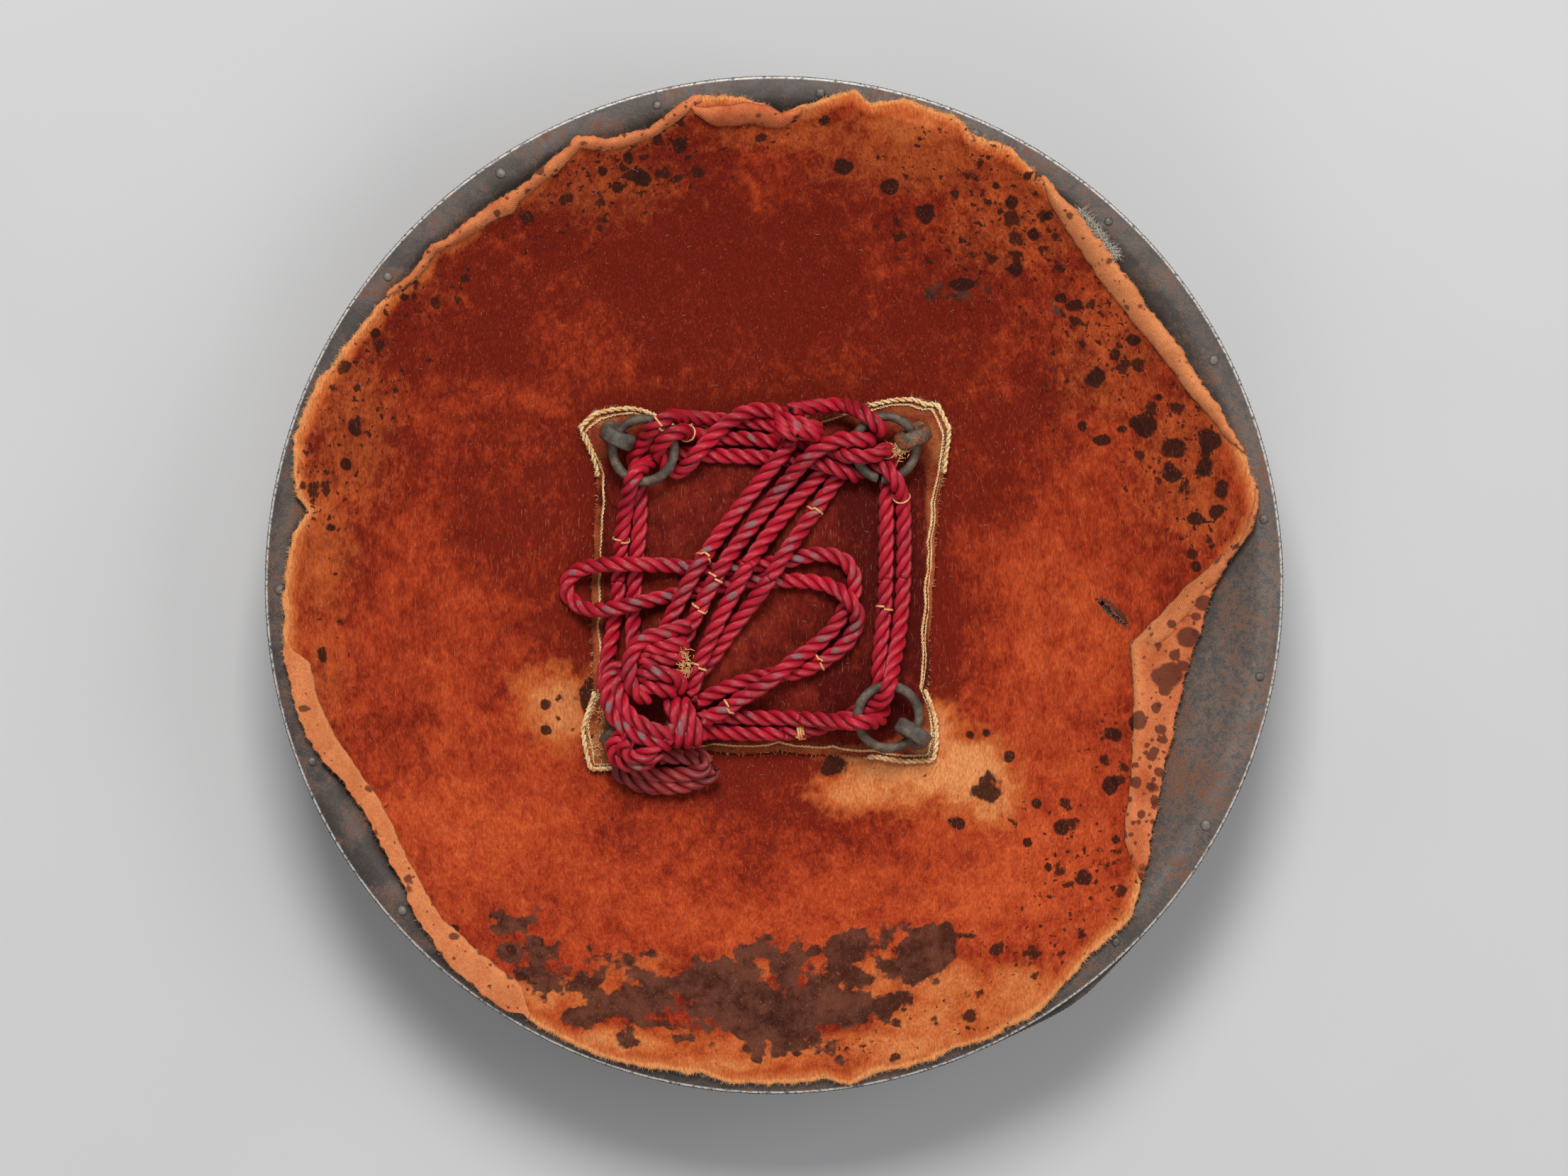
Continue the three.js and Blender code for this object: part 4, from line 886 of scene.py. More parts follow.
# Steel: the bowl, its rim band and the fastenings
def turned_part(profile, sides):
    """A profile of radius and height turned about Z."""
    radius, height = np.array(profile, float).T
    c, s = circle(angles(sides))
    points = np.stack([np.outer(radius, c), np.outer(radius, s), np.repeat(height[:, None], sides, 1)], -1)
    return points.reshape(-1, 3), grid_faces(len(profile), sides, closed=True).tolist()


def sheet_profile(gap, sheet, start, end, steps):
    """Rows of the inner and outer faces of a layer below the bowl's inner face."""
    radius = np.linspace(start, end, steps)
    tilt = np.arctan(bowl_slope(radius))
    return [pairs(radius + down * np.sin(tilt), bowl_face(radius) - down * np.cos(tilt))
            for down in (gap, gap + sheet)]


BOWL_SIDES, BOWL_STEPS = 360, 64
BEND_START, BEND_END = FLANGE_START - 6, FLANGE_START + 3
HAMMERED_TO, HAMMERED_END = 205, 217
HAMMER_DEPTH, HAMMER_SIZE = 0.28, 26
BARE_LIT_MIDDLE, BARE_LIT_WIDTH = -12, 42

inner, outer = sheet_profile(0, SHEET, 0.01, FLANGE_START - 0.6, BOWL_STEPS)
# The bend into the flat rim is soft on the inside
inner = [row for row in inner if row[0] < BEND_START]
t = np.linspace(0.125, 1, 8)[:, None]
corner, flat = np.array([FLANGE_START, RIM_HEIGHT]), np.array([BEND_END, RIM_HEIGHT])
bend = (1 - t) ** 2 * inner[-1] + 2 * t * (1 - t) * corner + t**2 * flat
points, faces = turned_part(
    [*inner, *bend, (RIM_RADIUS - 0.5, RIM_HEIGHT), (RIM_RADIUS, RIM_HEIGHT - 0.3),
     (RIM_RADIUS, RIM_HEIGHT - SHEET), (FLANGE_START + 1.4, RIM_HEIGHT - SHEET), *outer[::-1]], BOWL_SIDES)
# Shallow hammer marks, in both faces alike
hammered = 1 - smooth(HAMMERED_TO, HAMMERED_END, np.hypot(points[:, 0], points[:, 1]))
points[:, 2] += hammered * HAMMER_DEPTH * wobble(points * [1, 1, 0], HAMMER_SIZE, 3, 2)
# The right flank is bare and lighter, partly bare metal and partly painted light, and the rest is brown
turn = np.degrees(np.arctan2(points[:, 1], points[:, 0]))
bare_and_lit = np.exp(-(((turn - BARE_LIT_MIDDLE) / BARE_LIT_WIDTH) ** 2)) * (0.75 + 0.5 * wobble(points, 30, 71, 2))
bowl = make("bowl_sheet", points, faces, steel, marks={"bare_and_lit": np.clip(bare_and_lit, 0, 1)})
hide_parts("bowl")
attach(bowl, "shield")

BAND_SHEET, BAND_SIDES = 1.2, 1440
BAND_INSIDE, BAND_WIDE = 218.8, 11.2
SPRUNG_MIDDLE, SPRUNG_WIDTH = -54, 5.5
SPRUNG_OUT, SPRUNG_DOWN = 2.6, 1.4
NICKS = 760

upper, lower = sheet_profile(1.9, BAND_SHEET, 213, 216.6, 4)
low, high = RIM_HEIGHT - SHEET - BAND_SHEET, RIM_HEIGHT - SHEET
points, faces = turned_part(
    [*upper[::-1], *lower, (219.7, low), (RIM_RADIUS, low), (RIM_RADIUS + 0.35, low + 0.3),
     (RIM_RADIUS + 0.35, high - 0.1), (RIM_RADIUS + 0.1, high), (219.4, high), upper[-1]], BAND_SIDES)
# The band stands away at the lower right, and its rim is worn into small nicks
radius, angle = np.hypot(points[:, 0], points[:, 1]), np.arctan2(points[:, 1], points[:, 0])
out = np.clip((radius - BAND_INSIDE) / BAND_WIDE, 0, 1)
sprung = np.exp(-(((np.degrees(angle) - SPRUNG_MIDDLE) / SPRUNG_WIDTH) ** 2)) * out
nicks = (0.12 * np.sin(angle * NICKS) + 0.1 * wobble(points, 4, 9, 2)) * (out > 0.9)
points[:, :2] *= (1 + (SPRUNG_OUT * sprung + nicks) / radius)[:, None]
points[:, 2] -= SPRUNG_DOWN * sprung
band = make("rim_band_strip", points, faces, band_steel)
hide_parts("rim_band")
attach(band, "shield")

RIVET_ANGLES = [7.7, 27.1, 47.4, 65.9, 84.6, 103.7, 123.6, 141.4, 161, 180.5,
                200.9, 221.2, 241.5, 261.8, 281, 298.1, 313.8, 330.9, 349.3]
RIVET_CIRCLE = 223.5
RIVET_HEAD, RIVET_SHANK, RIVET_SIDES = 2.25, 1.4, 16
foot = -SHEET - 1.5
parts = []
for i, a in enumerate(np.radians(RIVET_ANGLES)):
    size = RIVET_HEAD * (1 + 0.12 * math.sin(i * 2.3))
    points, faces = turned_part(
        [(0.01, foot - 1.3), (1.5, foot - 0.9), (RIVET_HEAD, foot), (RIVET_SHANK, foot), (RIVET_SHANK, 0),
         (size, 0.05), (size * 0.96, 0.5), (size * 0.7, 1.0), (size * 0.36, 1.25), (0.01, 1.3)], RIVET_SIDES)
    points[:, 0] += 0.125 * points[:, 1] * math.sin(i * 1.7)
    parts.append((points + [*circle(a, RIVET_CIRCLE), RIM_HEIGHT], faces))
rivets = make("rim_rivets", *join(parts), rivet_steel)
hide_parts(*[f"rim_rivet_{i + 1:02d}" for i in range(len(RIVET_ANGLES))])
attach(rivets, "shield")

# Corners of the handle: the side of each, where its ring's bar points and how far the ring lies up,
# in degrees, and the gap and turn of the ring that is open
CORNERS = {
    "top_left": (-1, 1, 153.6, 8),
    "top_right": (1, 1, 20.7, 8),
    "bottom_right": (1, -1, -32.7, 8),
    "bottom_left": (-1, -1, 219, 2),
}
OPEN_RING, GAP, GAP_TURN = "top_right", 7, -58
THREAD_HEIGHT = 21.45
RING_MEAN, RING_BAR, RING_THICK, RING_STEPS, RING_SIDES = 14.25, 2.2, 2.15, 96, 20
EYE_BORE, EYE_OUTSIDE, EYE_HALF, EYE_HEIGHT, EYE_SIDES = 5.3, 8.5, 3.5, 24, 64
SHANK, SHANK_FOOT = 3.2, -5
BOSS_RADIUS, BOSS_SHOULDER, BOSS_TOP, BOSS_SHEET = 22, 17, 6.5, 1.2


def ring_part(number, gap):
    """A forged ring about Z, of an uneven bar, open by a gap in degrees where there is one."""
    gap = math.radians(gap)
    angle = np.linspace(0, TURN - gap, RING_STEPS, endpoint=gap > 0) + gap / 2
    around = angles(RING_SIDES)
    wide = RING_BAR * (1 + 0.05 * np.sin(3 * angle + number) + 0.04 * np.sin(7 * angle + 2 * number))
    thick = RING_THICK * (1 + 0.06 * np.sin(5 * angle - number))
    x, y = circle(angle[:, None], RING_MEAN + np.outer(wide, np.cos(around)))
    faces = grid_faces(RING_STEPS, RING_SIDES, closed=True).tolist()
    last = (RING_STEPS - 1) * RING_SIDES
    if gap:
        faces += [list(range(RING_SIDES))[::-1], list(range(last, last + RING_SIDES))]
    else:
        faces += [[last + i, last + (i + 1) % RING_SIDES, (i + 1) % RING_SIDES, i] for i in range(RING_SIDES)]
    return np.stack([x, y, np.outer(thick, np.sin(around))], -1).reshape(-1, 3), faces


def eye_part(number):
    """An eye bent from strip, flat with rounded edges."""
    bore, outside, half = EYE_BORE, EYE_OUTSIDE, EYE_HALF
    section = np.array([
        (bore, -half + 0.5), (bore + 0.5, -half), (outside - 0.9, -half), (outside, -half + 1),
        (outside, half - 1), (outside - 0.9, half), (bore + 0.5, half), (bore, half - 0.5),
        (bore, -half + 0.5)])
    angle = angles(EYE_SIDES)
    c, s = circle(angle, 1 + 0.035 * np.sin(2 * angle + number))
    r, h = section.T
    points = np.stack([np.outer(r, c), np.repeat(h[:, None], EYE_SIDES, 1), np.outer(r, s) + EYE_HEIGHT], -1)
    return points.reshape(-1, 3), grid_faces(len(section), EYE_SIDES, closed=True).tolist()


def dish(radius):
    """How far a boss's foot stands off at a radius, to follow the bowl."""
    return 1.9 - radius**2 / 700


def dome(out, down, rise, height):
    """The round part of a boss, inside or outside."""
    return [(BOSS_TOP + out * math.cos(t), -(rise - down + (height - rise) * math.sin(t)))
            for t in np.linspace(0, math.pi / 2, 14)]


for number, (name, (side_x, side_y, bar, lie)) in enumerate(CORNERS.items()):
    x, y = HANDLE_X + CORNER_OUT * side_x, CORNER_OUT * side_y
    radius = math.hypot(x, y)
    tilt = math.atan(bowl_slope(radius))
    up = np.array([-x * math.sin(tilt) / radius, -y * math.sin(tilt) / radius, math.cos(tilt)])
    bar_way = np.array([*circle(math.radians(bar)), 0])
    axis = unit(np.cross(up, bar_way))
    turn = np.stack([np.cross(axis, up), axis, up])
    foot = np.array([x, y, bowl_face(radius)])
    inward = -math.cos(math.radians(lie)) * bar_way + [0, 0, math.sin(math.radians(lie))]
    inward = unit(inward - inward.dot(axis) * axis)

    # The ring lies in the plane of its inward direction and the axis
    points, faces = ring_part(number, GAP if name == OPEN_RING else 0)
    if name == OPEN_RING:
        c, s = circle(math.radians(GAP_TURN))
        points[:, :2] = points[:, :2] @ np.array([[c, -s], [s, c]]).T
    normal = np.cross(inward, axis)
    points = foot + THREAD_HEIGHT * up + RING_MEAN * inward + points @ np.stack([inward, axis, normal])
    points += 0.12 * wobble(points, 5, number, 2)[:, None] * normal
    ring = make(f"forged_ring_{name}", points, faces, ring_iron)
    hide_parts(f"ring_{name}")
    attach(ring, f"{name}_ring")

    stem = turned_part([(0.01, SHANK_FOOT), (SHANK, SHANK_FOOT), (SHANK, 9), (4.8, 9.1), (4.8, 10.6),
                        (4.3, 10.9), (3.3, 11.2), (3.3, 17.4), (0.01, 17.6)], 20)
    points, faces = join([eye_part(number), stem])
    points = foot + points @ turn
    points += 0.16 * wobble(points, 4, number + 5, 2)[:, None] * up
    bolt = make(f"forged_eye_{name}", points, faces, rusty_eye_iron if name == OPEN_RING else eye_iron)
    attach(bolt, "shield")

    # The bolt's end is riveted over the top of the boss, and the bosses stand on one level
    rise = BOSS_SHEET + dish(BOSS_SHOULDER)
    sin_tilt = math.hypot(up[0], up[1])
    drop = foot[2] - up[2] * rise - BOSS_TOP * sin_tilt
    height = rise + math.sqrt(drop**2 - ((BOSS_SHOULDER - BOSS_TOP) * sin_tilt) ** 2) / up[2]
    points, faces = turned_part([(0.01, -height - 1.5), (2.6, -height - 1.3), (4.2, -height - 0.7),
                                 (4.5, -height - 0.3), (SHANK, -height - 0.3), (SHANK, SHANK_FOOT),
                                 (0.01, SHANK_FOOT)], 24)
    end = make(f"bolt_end_{name}", foot + points @ turn, faces, eye_iron)
    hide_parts(f"eye_bolt_{name}")
    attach(end, "shield")
    lip = -dish(BOSS_RADIUS)
    points, faces = turned_part(
        [(BOSS_RADIUS, lip), (BOSS_RADIUS, lip - 0.9), (21.6, lip - 1.2), *dome(10.5, 0, rise, height),
         (3.5, -height), (3.5, -height + BOSS_SHEET), *dome(9.3, BOSS_SHEET, rise, height)[::-1],
         (BOSS_RADIUS, lip)], 72)
    boss = make(f"boss_dome_{name}", foot + points @ turn, faces, boss_steel)
    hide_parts(f"boss_{name}")
    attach(boss, "shield")


# Lining: its edge, clockwise from the left, as the photograph shows it
LINING_EDGE = [
    (403, 815), (413, 758), (436, 720), (420, 701), (413, 661), (416, 640), (415, 616), (437, 561),
    (466, 516), (499, 473), (552, 410), (576, 396), (609, 348), (638, 334), (714, 276), (733, 267),
    (791, 219), (815, 193), (858, 198), (920, 181), (973, 141), (1000, 136), (1047, 136), (1101, 161),
    (1145, 146), (1205, 126), (1229, 145), (1277, 140), (1325, 157), (1358, 171), (1368, 190),
    (1425, 207), (1468, 248), (1507, 291), (1559, 353), (1617, 434), (1683, 525), (1741, 621),
    (1755, 639), (1771, 682), (1773, 718), (1767, 742), (1747, 769), (1727, 801), (1711, 833),
    (1688, 904), (1672, 955), (1656, 1026), (1640, 1094), (1625, 1172), (1614, 1227), (1602, 1270),
    (1597, 1293), (1559, 1327), (1530, 1356), (1492, 1399), (1463, 1427), (1425, 1447), (1397, 1466),
    (1349, 1478), (1282, 1506), (1239, 1511), (1200, 1530), (1162, 1523), (1030, 1528), (992, 1513),
    (896, 1504), (848, 1490), (800, 1470), (743, 1437), (676, 1399), (638, 1360), (609, 1322),
    (590, 1293), (561, 1231), (518, 1150), (485, 1102), (456, 1072), (424, 1015), (406, 944), (402, 897),
    (400, 840),
]
EDGE_CIRCLE = 200
FOLDS_START, FOLDS_FULL = 70, 130
# The shadow round the cushion
SHADOW_HALF_X, SHADOW_HALF_Y, SHADOW_WIDTH = 77, 75, 16


def round_outline(pixels, middle_x=0.0):
    """How far an outline reaches from a middle, for any angle."""
    x, y = (places(pixels) - [middle_x, 0]).T
    angle, reach = np.arctan2(y, x) % TURN, np.hypot(x, y)
    order = np.argsort(angle)
    return lambda a: np.interp(np.asarray(a) % TURN, angle[order], reach[order], period=TURN)


edge_reach = round_outline(LINING_EDGE)


def frayed_reach(a):
    ring = pairs(*circle(a, EDGE_CIRCLE))
    return edge_reach(a) + 0.9 * wobble(ring, 2.2, 4, 2) + 1.1 * wobble(ring, 9, 5, 2)


# Worn, burnt and spotted places, and places of painted shade and painted light: photograph x, y, half width
# and half height in pixels, and strength
WORN = [
    (785, 1000, 52, 54, 0.85), (745, 965, 34, 26, 0.5), (1270, 1080, 95, 60, 1.0),
    (1355, 1090, 75, 50, 1.1), (1210, 1120, 60, 30, 0.8), (1400, 1130, 45, 40, 0.8),
    (1320, 1035, 40, 45, 0.8), (1095, 1480, 150, 26, 0.6), (1310, 1440, 80, 36, 0.7),
    (1240, 1385, 40, 40, 0.6), (1330, 1390, 70, 35, 0.7), (930, 1480, 90, 20, 0.5),
    (830, 1410, 50, 26, 0.6), (900, 1370, 60, 22, 0.5), (1440, 1400, 60, 40, 0.7),
    (1040, 1370, 60, 22, 0.5), (1180, 1400, 30, 30, 0.6), (1440, 290, 120, 100, 0.3),
    (1290, 220, 140, 50, 0.34), (1570, 490, 80, 110, 0.3), (1670, 650, 80, 110, 0.3),
    (1130, 190, 150, 22, 0.35), (1290, 180, 90, 28, 0.55), (1700, 720, 50, 60, 0.35),
    (760, 1405, 70, 26, 0.7), (870, 1468, 90, 20, 0.8), (1010, 1500, 100, 16, 0.7),
    (1290, 1478, 110, 30, 0.75), (1410, 1425, 90, 40, 0.6), (840, 260, 120, 50, 0.28),
    (500, 600, 60, 140, 0.32), (450, 760, 50, 120, 0.4), (455, 960, 40, 110, 0.3),
    (600, 420, 40, 40, 0.15),
]
BURNT = [
    (715, 1298, 44, 20, 0.8), (690, 1285, 26, 18, 0.7), (960, 1395, 80, 52, 0.95),
    (1010, 1425, 90, 46, 1.0), (1090, 1435, 80, 46, 1.0), (1160, 1410, 66, 60, 1.0),
    (1200, 1375, 56, 48, 0.95), (1310, 1335, 44, 32, 0.95), (1235, 1325, 34, 22, 0.9),
    (1280, 1365, 54, 34, 0.85), (1060, 1345, 32, 20, 0.85), (1120, 1375, 44, 30, 0.8),
    (780, 1385, 60, 32, 0.75), (850, 1425, 74, 30, 0.8), (740, 1345, 34, 22, 0.55),
    (920, 1350, 54, 26, 0.65), (1180, 1475, 50, 20, 0.6), (1060, 1480, 50, 14, 0.45),
    (890, 1450, 54, 24, 0.6), (1540, 340, 20, 26, 0.4), (1350, 410, 60, 14, 0.42),
    (1480, 440, 30, 18, 0.3), (560, 640, 60, 20, 0.2), (580, 760, 30, 50, 0.15),
    (990, 1370, 50, 30, 0.75), (1060, 1400, 60, 34, 0.9), (820, 1350, 50, 24, 0.5),
    (1250, 1410, 46, 30, 0.7),
]
PAINTED_SHADE = [
    (1100, 420, 380, 150, 1.0), (1180, 560, 420, 120, 0.8), (1420, 620, 130, 170, 0.7),
    (700, 700, 90, 160, 0.8), (1090, 800, 330, 330, 0.8), (880, 310, 240, 110, 1.25),
    (1340, 830, 60, 160, 0.5), (1100, 1110, 260, 60, 0.9), (560, 980, 50, 90, 0.5),
    (980, 1120, 90, 40, 0.8), (520, 640, 90, 160, 0.8), (650, 450, 160, 130, 1.0),
    (760, 330, 120, 70, 0.8), (1100, 1250, 200, 60, 0.35), (1250, 260, 160, 50, 0.4),
]
PAINTED_LIGHT = [
    (1080, 1280, 460, 80, 0.6), (700, 1180, 170, 130, 0.75), (1420, 1230, 140, 130, 1.0),
    (560, 860, 90, 200, 0.4), (640, 560, 100, 110, 0.25), (1500, 900, 90, 200, 0.9),
    (640, 1020, 120, 80, 0.6), (1250, 330, 90, 60, 0.3), (1480, 760, 100, 60, 0.6),
    (860, 480, 120, 60, 0.2), (1560, 620, 90, 60, 0.5), (900, 1180, 200, 60, 0.4),
    (1480, 1060, 110, 120, 0.9), (1530, 1160, 70, 100, 0.8),
]
SPOTTY = [
    (1430, 330, 110, 110, 0.95), (1340, 230, 110, 60, 0.9), (1560, 470, 80, 110, 1.0),
    (1660, 620, 80, 100, 1.05), (1700, 760, 50, 50, 0.9), (1300, 300, 80, 60, 0.8),
    (1460, 440, 70, 60, 0.7), (860, 240, 120, 60, 1.15), (930, 215, 100, 60, 1.1),
    (780, 310, 90, 60, 0.9), (570, 440, 80, 80, 0.9), (510, 560, 66, 90, 0.95), (465, 690, 50, 90, 0.9),
    (470, 850, 30, 90, 0.55), (1080, 185, 120, 30, 0.8), (1530, 1250, 80, 90, 0.85),
    (1490, 1170, 80, 60, 0.7), (1560, 1060, 60, 80, 0.6), (1440, 1330, 90, 60, 0.8),
    (1360, 1440, 80, 50, 0.8), (700, 1360, 90, 60, 0.65), (600, 1250, 40, 60, 0.5),
    (800, 1010, 60, 70, 0.4), (1300, 1090, 120, 60, 0.35), (1200, 1490, 120, 30, 0.7),
    (1600, 1150, 40, 120, 0.8), (540, 1100, 40, 80, 0.4), (640, 370, 70, 50, 0.7),
    (1500, 560, 60, 60, 0.55),
]
# Single dark spots, on the lining and on its turned edge: x, y, half width and half height in pixels
SPOT = [
    (826, 988, 14, 24), (766, 997, 8, 8), (766, 1032, 8, 7), (1175, 1085, 20, 16), (1395, 1115, 22, 18),
    (1372, 1040, 9, 7), (1395, 1037, 7, 6), (1427, 1070, 9, 9), (1352, 1165, 12, 8),
    (1573, 1036, 12, 10), (1605, 1020, 10, 12), (1568, 1110, 12, 11), (1500, 1168, 10, 12),
    (1530, 1240, 13, 11), (1575, 1185, 7, 7), (1480, 1225, 6, 6), (1190, 232, 14, 12),
    (1252, 262, 14, 12), (1306, 297, 14, 14), (1360, 400, 22, 9), (1548, 532, 16, 14),
    (1616, 598, 20, 16), (1660, 632, 18, 14), (1706, 622, 16, 16), (1655, 665, 14, 13),
    (1555, 618, 13, 11), (1574, 500, 10, 9), (1515, 430, 14, 9), (1435, 380, 10, 9), (1460, 330, 9, 9),
    (1500, 420, 8, 8), (1700, 660, 12, 12), (1725, 690, 10, 16), (1716, 720, 14, 10), (1690, 730, 12, 9),
    (1600, 480, 9, 8), (905, 250, 13, 11), (885, 222, 8, 8), (958, 205, 10, 10), (870, 262, 8, 8),
    (850, 240, 7, 7), (1040, 160, 9, 7), (1060, 158, 6, 6), (1165, 170, 8, 7), (1450, 250, 7, 7),
    (1430, 285, 9, 9), (1405, 262, 6, 6), (640, 1310, 10, 6), (500, 600, 9, 12), (489, 655, 8, 8),
    (465, 745, 7, 6), (455, 925, 7, 12), (530, 470, 7, 8), (570, 420, 7, 6), (1465, 1135, 8, 8),
    (1452, 1190, 6, 6), (1690, 800, 8, 8), (1585, 605, 8, 7), (1635, 560, 8, 7), (1530, 600, 7, 7),
    (1480, 305, 7, 7),
]
FLAP_SPOT = [
    (1678, 898, 16, 14), (1650, 954, 22, 18), (1672, 940, 9, 8), (1640, 1030, 9, 7), (1632, 1060, 7, 6),
    (1646, 976, 8, 7), (1610, 1016, 10, 14), (1638, 1090, 8, 7), (1628, 1068, 8, 7), (1660, 925, 8, 8),
    (1700, 850, 12, 12), (1690, 870, 7, 6), (1634, 1000, 7, 8), (1605, 1105, 8, 8), (1625, 1110, 7, 6),
    (1642, 1045, 8, 6), (1655, 880, 6, 6), (1612, 1150, 6, 6), (1630, 1130, 6, 8), (1736, 764, 12, 12),
    (1700, 780, 8, 8), (1665, 810, 8, 8), (1660, 832, 6, 6), (1748, 685, 10, 8), (575, 1240, 6, 6),
    (430, 1000, 8, 5), (640, 1322, 7, 5), (700, 300, 5, 5),
]
# A tear at the right, and the thin cloth beside it
TEAR = [
    (1549, 846), (1562, 848), (1578, 866), (1590, 876), (1597, 889), (1588, 884), (1574, 874),
    (1560, 862),
]
THIN = [
    (1549, 846), (1556, 838), (1575, 852), (1592, 868), (1600, 892), (1580, 880), (1562, 866),
]
# Creases: both ends in pixels, height and half width
CREASES = [
    (452, 690, 462, 760, 0.9, 2.2), (455, 780, 468, 860, 0.6, 3), (480, 840, 492, 900, 0.5, 2),
    (1330, 215, 1420, 300, 0.8, 3), (1420, 210, 1500, 300, 0.9, 4), (1360, 310, 1450, 360, 0.6, 3),
    (1590, 620, 1700, 640, -0.6, 3), (1545, 840, 1530, 815, 0.7, 1.6), (1580, 850, 1620, 880, 0.7, 2),
    (700, 1170, 830, 1060, 0.4, 2.5), (560, 1180, 640, 1120, 0.3, 3), (860, 1190, 1000, 1150, 0.4, 4),
    (1210, 1190, 1330, 1170, 0.5, 4), (1590, 900, 1500, 925, 0.4, 0.9),
]


def field(blobs, x, y, ragged=0.35, soft=0.7):
    """The strongest of soft-edged patches at points, with ragged outlines."""
    total = np.zeros(len(x))
    rough = ragged * wobble(pairs(x, y), 7, 21, 3)
    for px, py, half_x, half_y, *strength in blobs:
        cx, cy = at(px, py)
        d = np.hypot((x - cx) / (half_x * PIXEL), (y - cy) / (half_y * PIXEL))
        near = d < 2.5
        patch = 1 - smooth(1 - soft, 1 + soft, d[near] + rough[near])
        total[near] = np.maximum(total[near], (strength or [1])[0] * patch)
    return total


def in_shape(x, y, pixels):
    """Which points lie inside an outline."""
    shape = places(pixels)
    inside = np.zeros(len(x), bool)
    for (x0, y0), (x1, y1) in zip(shape, np.roll(shape, -1, 0)):
        crosses = (y0 > y) != (y1 > y)
        inside ^= crosses & (x < (x1 - x0) * (y - y0) / (y1 - y0 + 1e-12) + x0)
    return inside


def lining_height(x, y):
    """Soft folds over the padded bowl, and straight creases."""
    points = pairs(x, y)
    waves = 0.55 * wobble(points, 34, 31, 2) + 0.22 * wobble(points, 11, 32, 2)
    lift = lining_top(x, y) + smooth(FOLDS_START, FOLDS_FULL, np.hypot(x, y)) * waves
    for x0, y0, x1, y1, high, wide in CREASES:
        (ax, ay), (bx, by) = at(x0, y0), at(x1, y1)
        length = math.hypot(bx - ax, by - ay)
        t = np.clip(((x - ax) * (bx - ax) + (y - ay) * (by - ay)) / length**2, 0, 1)
        d = np.hypot(x - ax - t * (bx - ax), y - ay - t * (by - ay))
        lift += high * np.exp(-((d / wide) ** 2)) * smooth(0, 0.15, t) * smooth(0, 0.15, 1 - t)
    return lift


def marks_at(x, y):
    """What the lining's velvet shows at points: a worn hem, patches, spots, painted shade and painted light,
    and shadow by the cushion.
    """
    points = pairs(x, y)
    from_edge = edge_reach(np.arctan2(y, x)) - np.hypot(x, y)
    hem = 6.5 + 4 * wobble(points, 14, 8, 2)
    worn = np.maximum(field(WORN, x, y), 0.7 * (1 - smooth(2, hem + 4, from_edge)))
    worn = np.maximum(worn, 1.25 * (1 - smooth(0.5, 0.7 * hem, from_edge)))
    # Painted shade and painted light in patches, and the painted shadow round the cushion
    tone_and_shading = 0.1 * wobble(points, 40, 12, 2) - 0.2 * field(PAINTED_SHADE, x, y, 0.5) + 0.26 * field(PAINTED_LIGHT, x, y, 0.5)
    away = np.maximum(np.abs(x - HANDLE_X) - SHADOW_HALF_X, np.abs(y) - SHADOW_HALF_Y)
    tone_and_shading -= 0.3 * (1 - smooth(0, SHADOW_WIDTH, away))
    return {"worn": worn, "burnt": field(BURNT, x, y, 0.5), "spotty": field(SPOTTY, x, y, 0.3),
            "spot": field(SPOT, x, y, 0.5, 0.5), "tone_and_shading": tone_and_shading}


# The lining is rings of points about the middle, up to its edge
LINING_SIDES, LINING_RINGS, LINING_START = 900, 150, 0.22
LINING_THICKNESS = 1.0
a = angles(LINING_SIDES)
radii = np.outer(np.linspace(LINING_START, 1, LINING_RINGS), frayed_reach(a))
x, y = (way.ravel() for way in circle(a, radii))
faces = grid_faces(LINING_RINGS, LINING_SIDES, closed=True)[:, ::-1]
faces = faces[~in_shape(*pairs(x, y)[faces].mean(1).T, TEAR)]
marks = marks_at(x, y)
marks["burnt"] = np.maximum(marks["burnt"], 0.5 * in_shape(x, y, THIN))
# Across the middle, under the cushion, the cloth is a plain disc
points = np.vstack([np.stack([x, y, lining_height(x, y)], 1), [0, 0, lining_top(0.0, 0.0)]])
fan = [[i, (i + 1) % LINING_SIDES, len(x)] for i in range(LINING_SIDES)]
lining = make("lining_cloth", points, faces.tolist() + fan, lining_velvet,
              marks={key: np.append(values, 0) for key, values in marks.items()})
thick = lining.modifiers.new("thickness", "SOLIDIFY")
thick.thickness = LINING_THICKNESS * MM
thick.offset = -1
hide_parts("velvet_lining")
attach(lining, "shield")

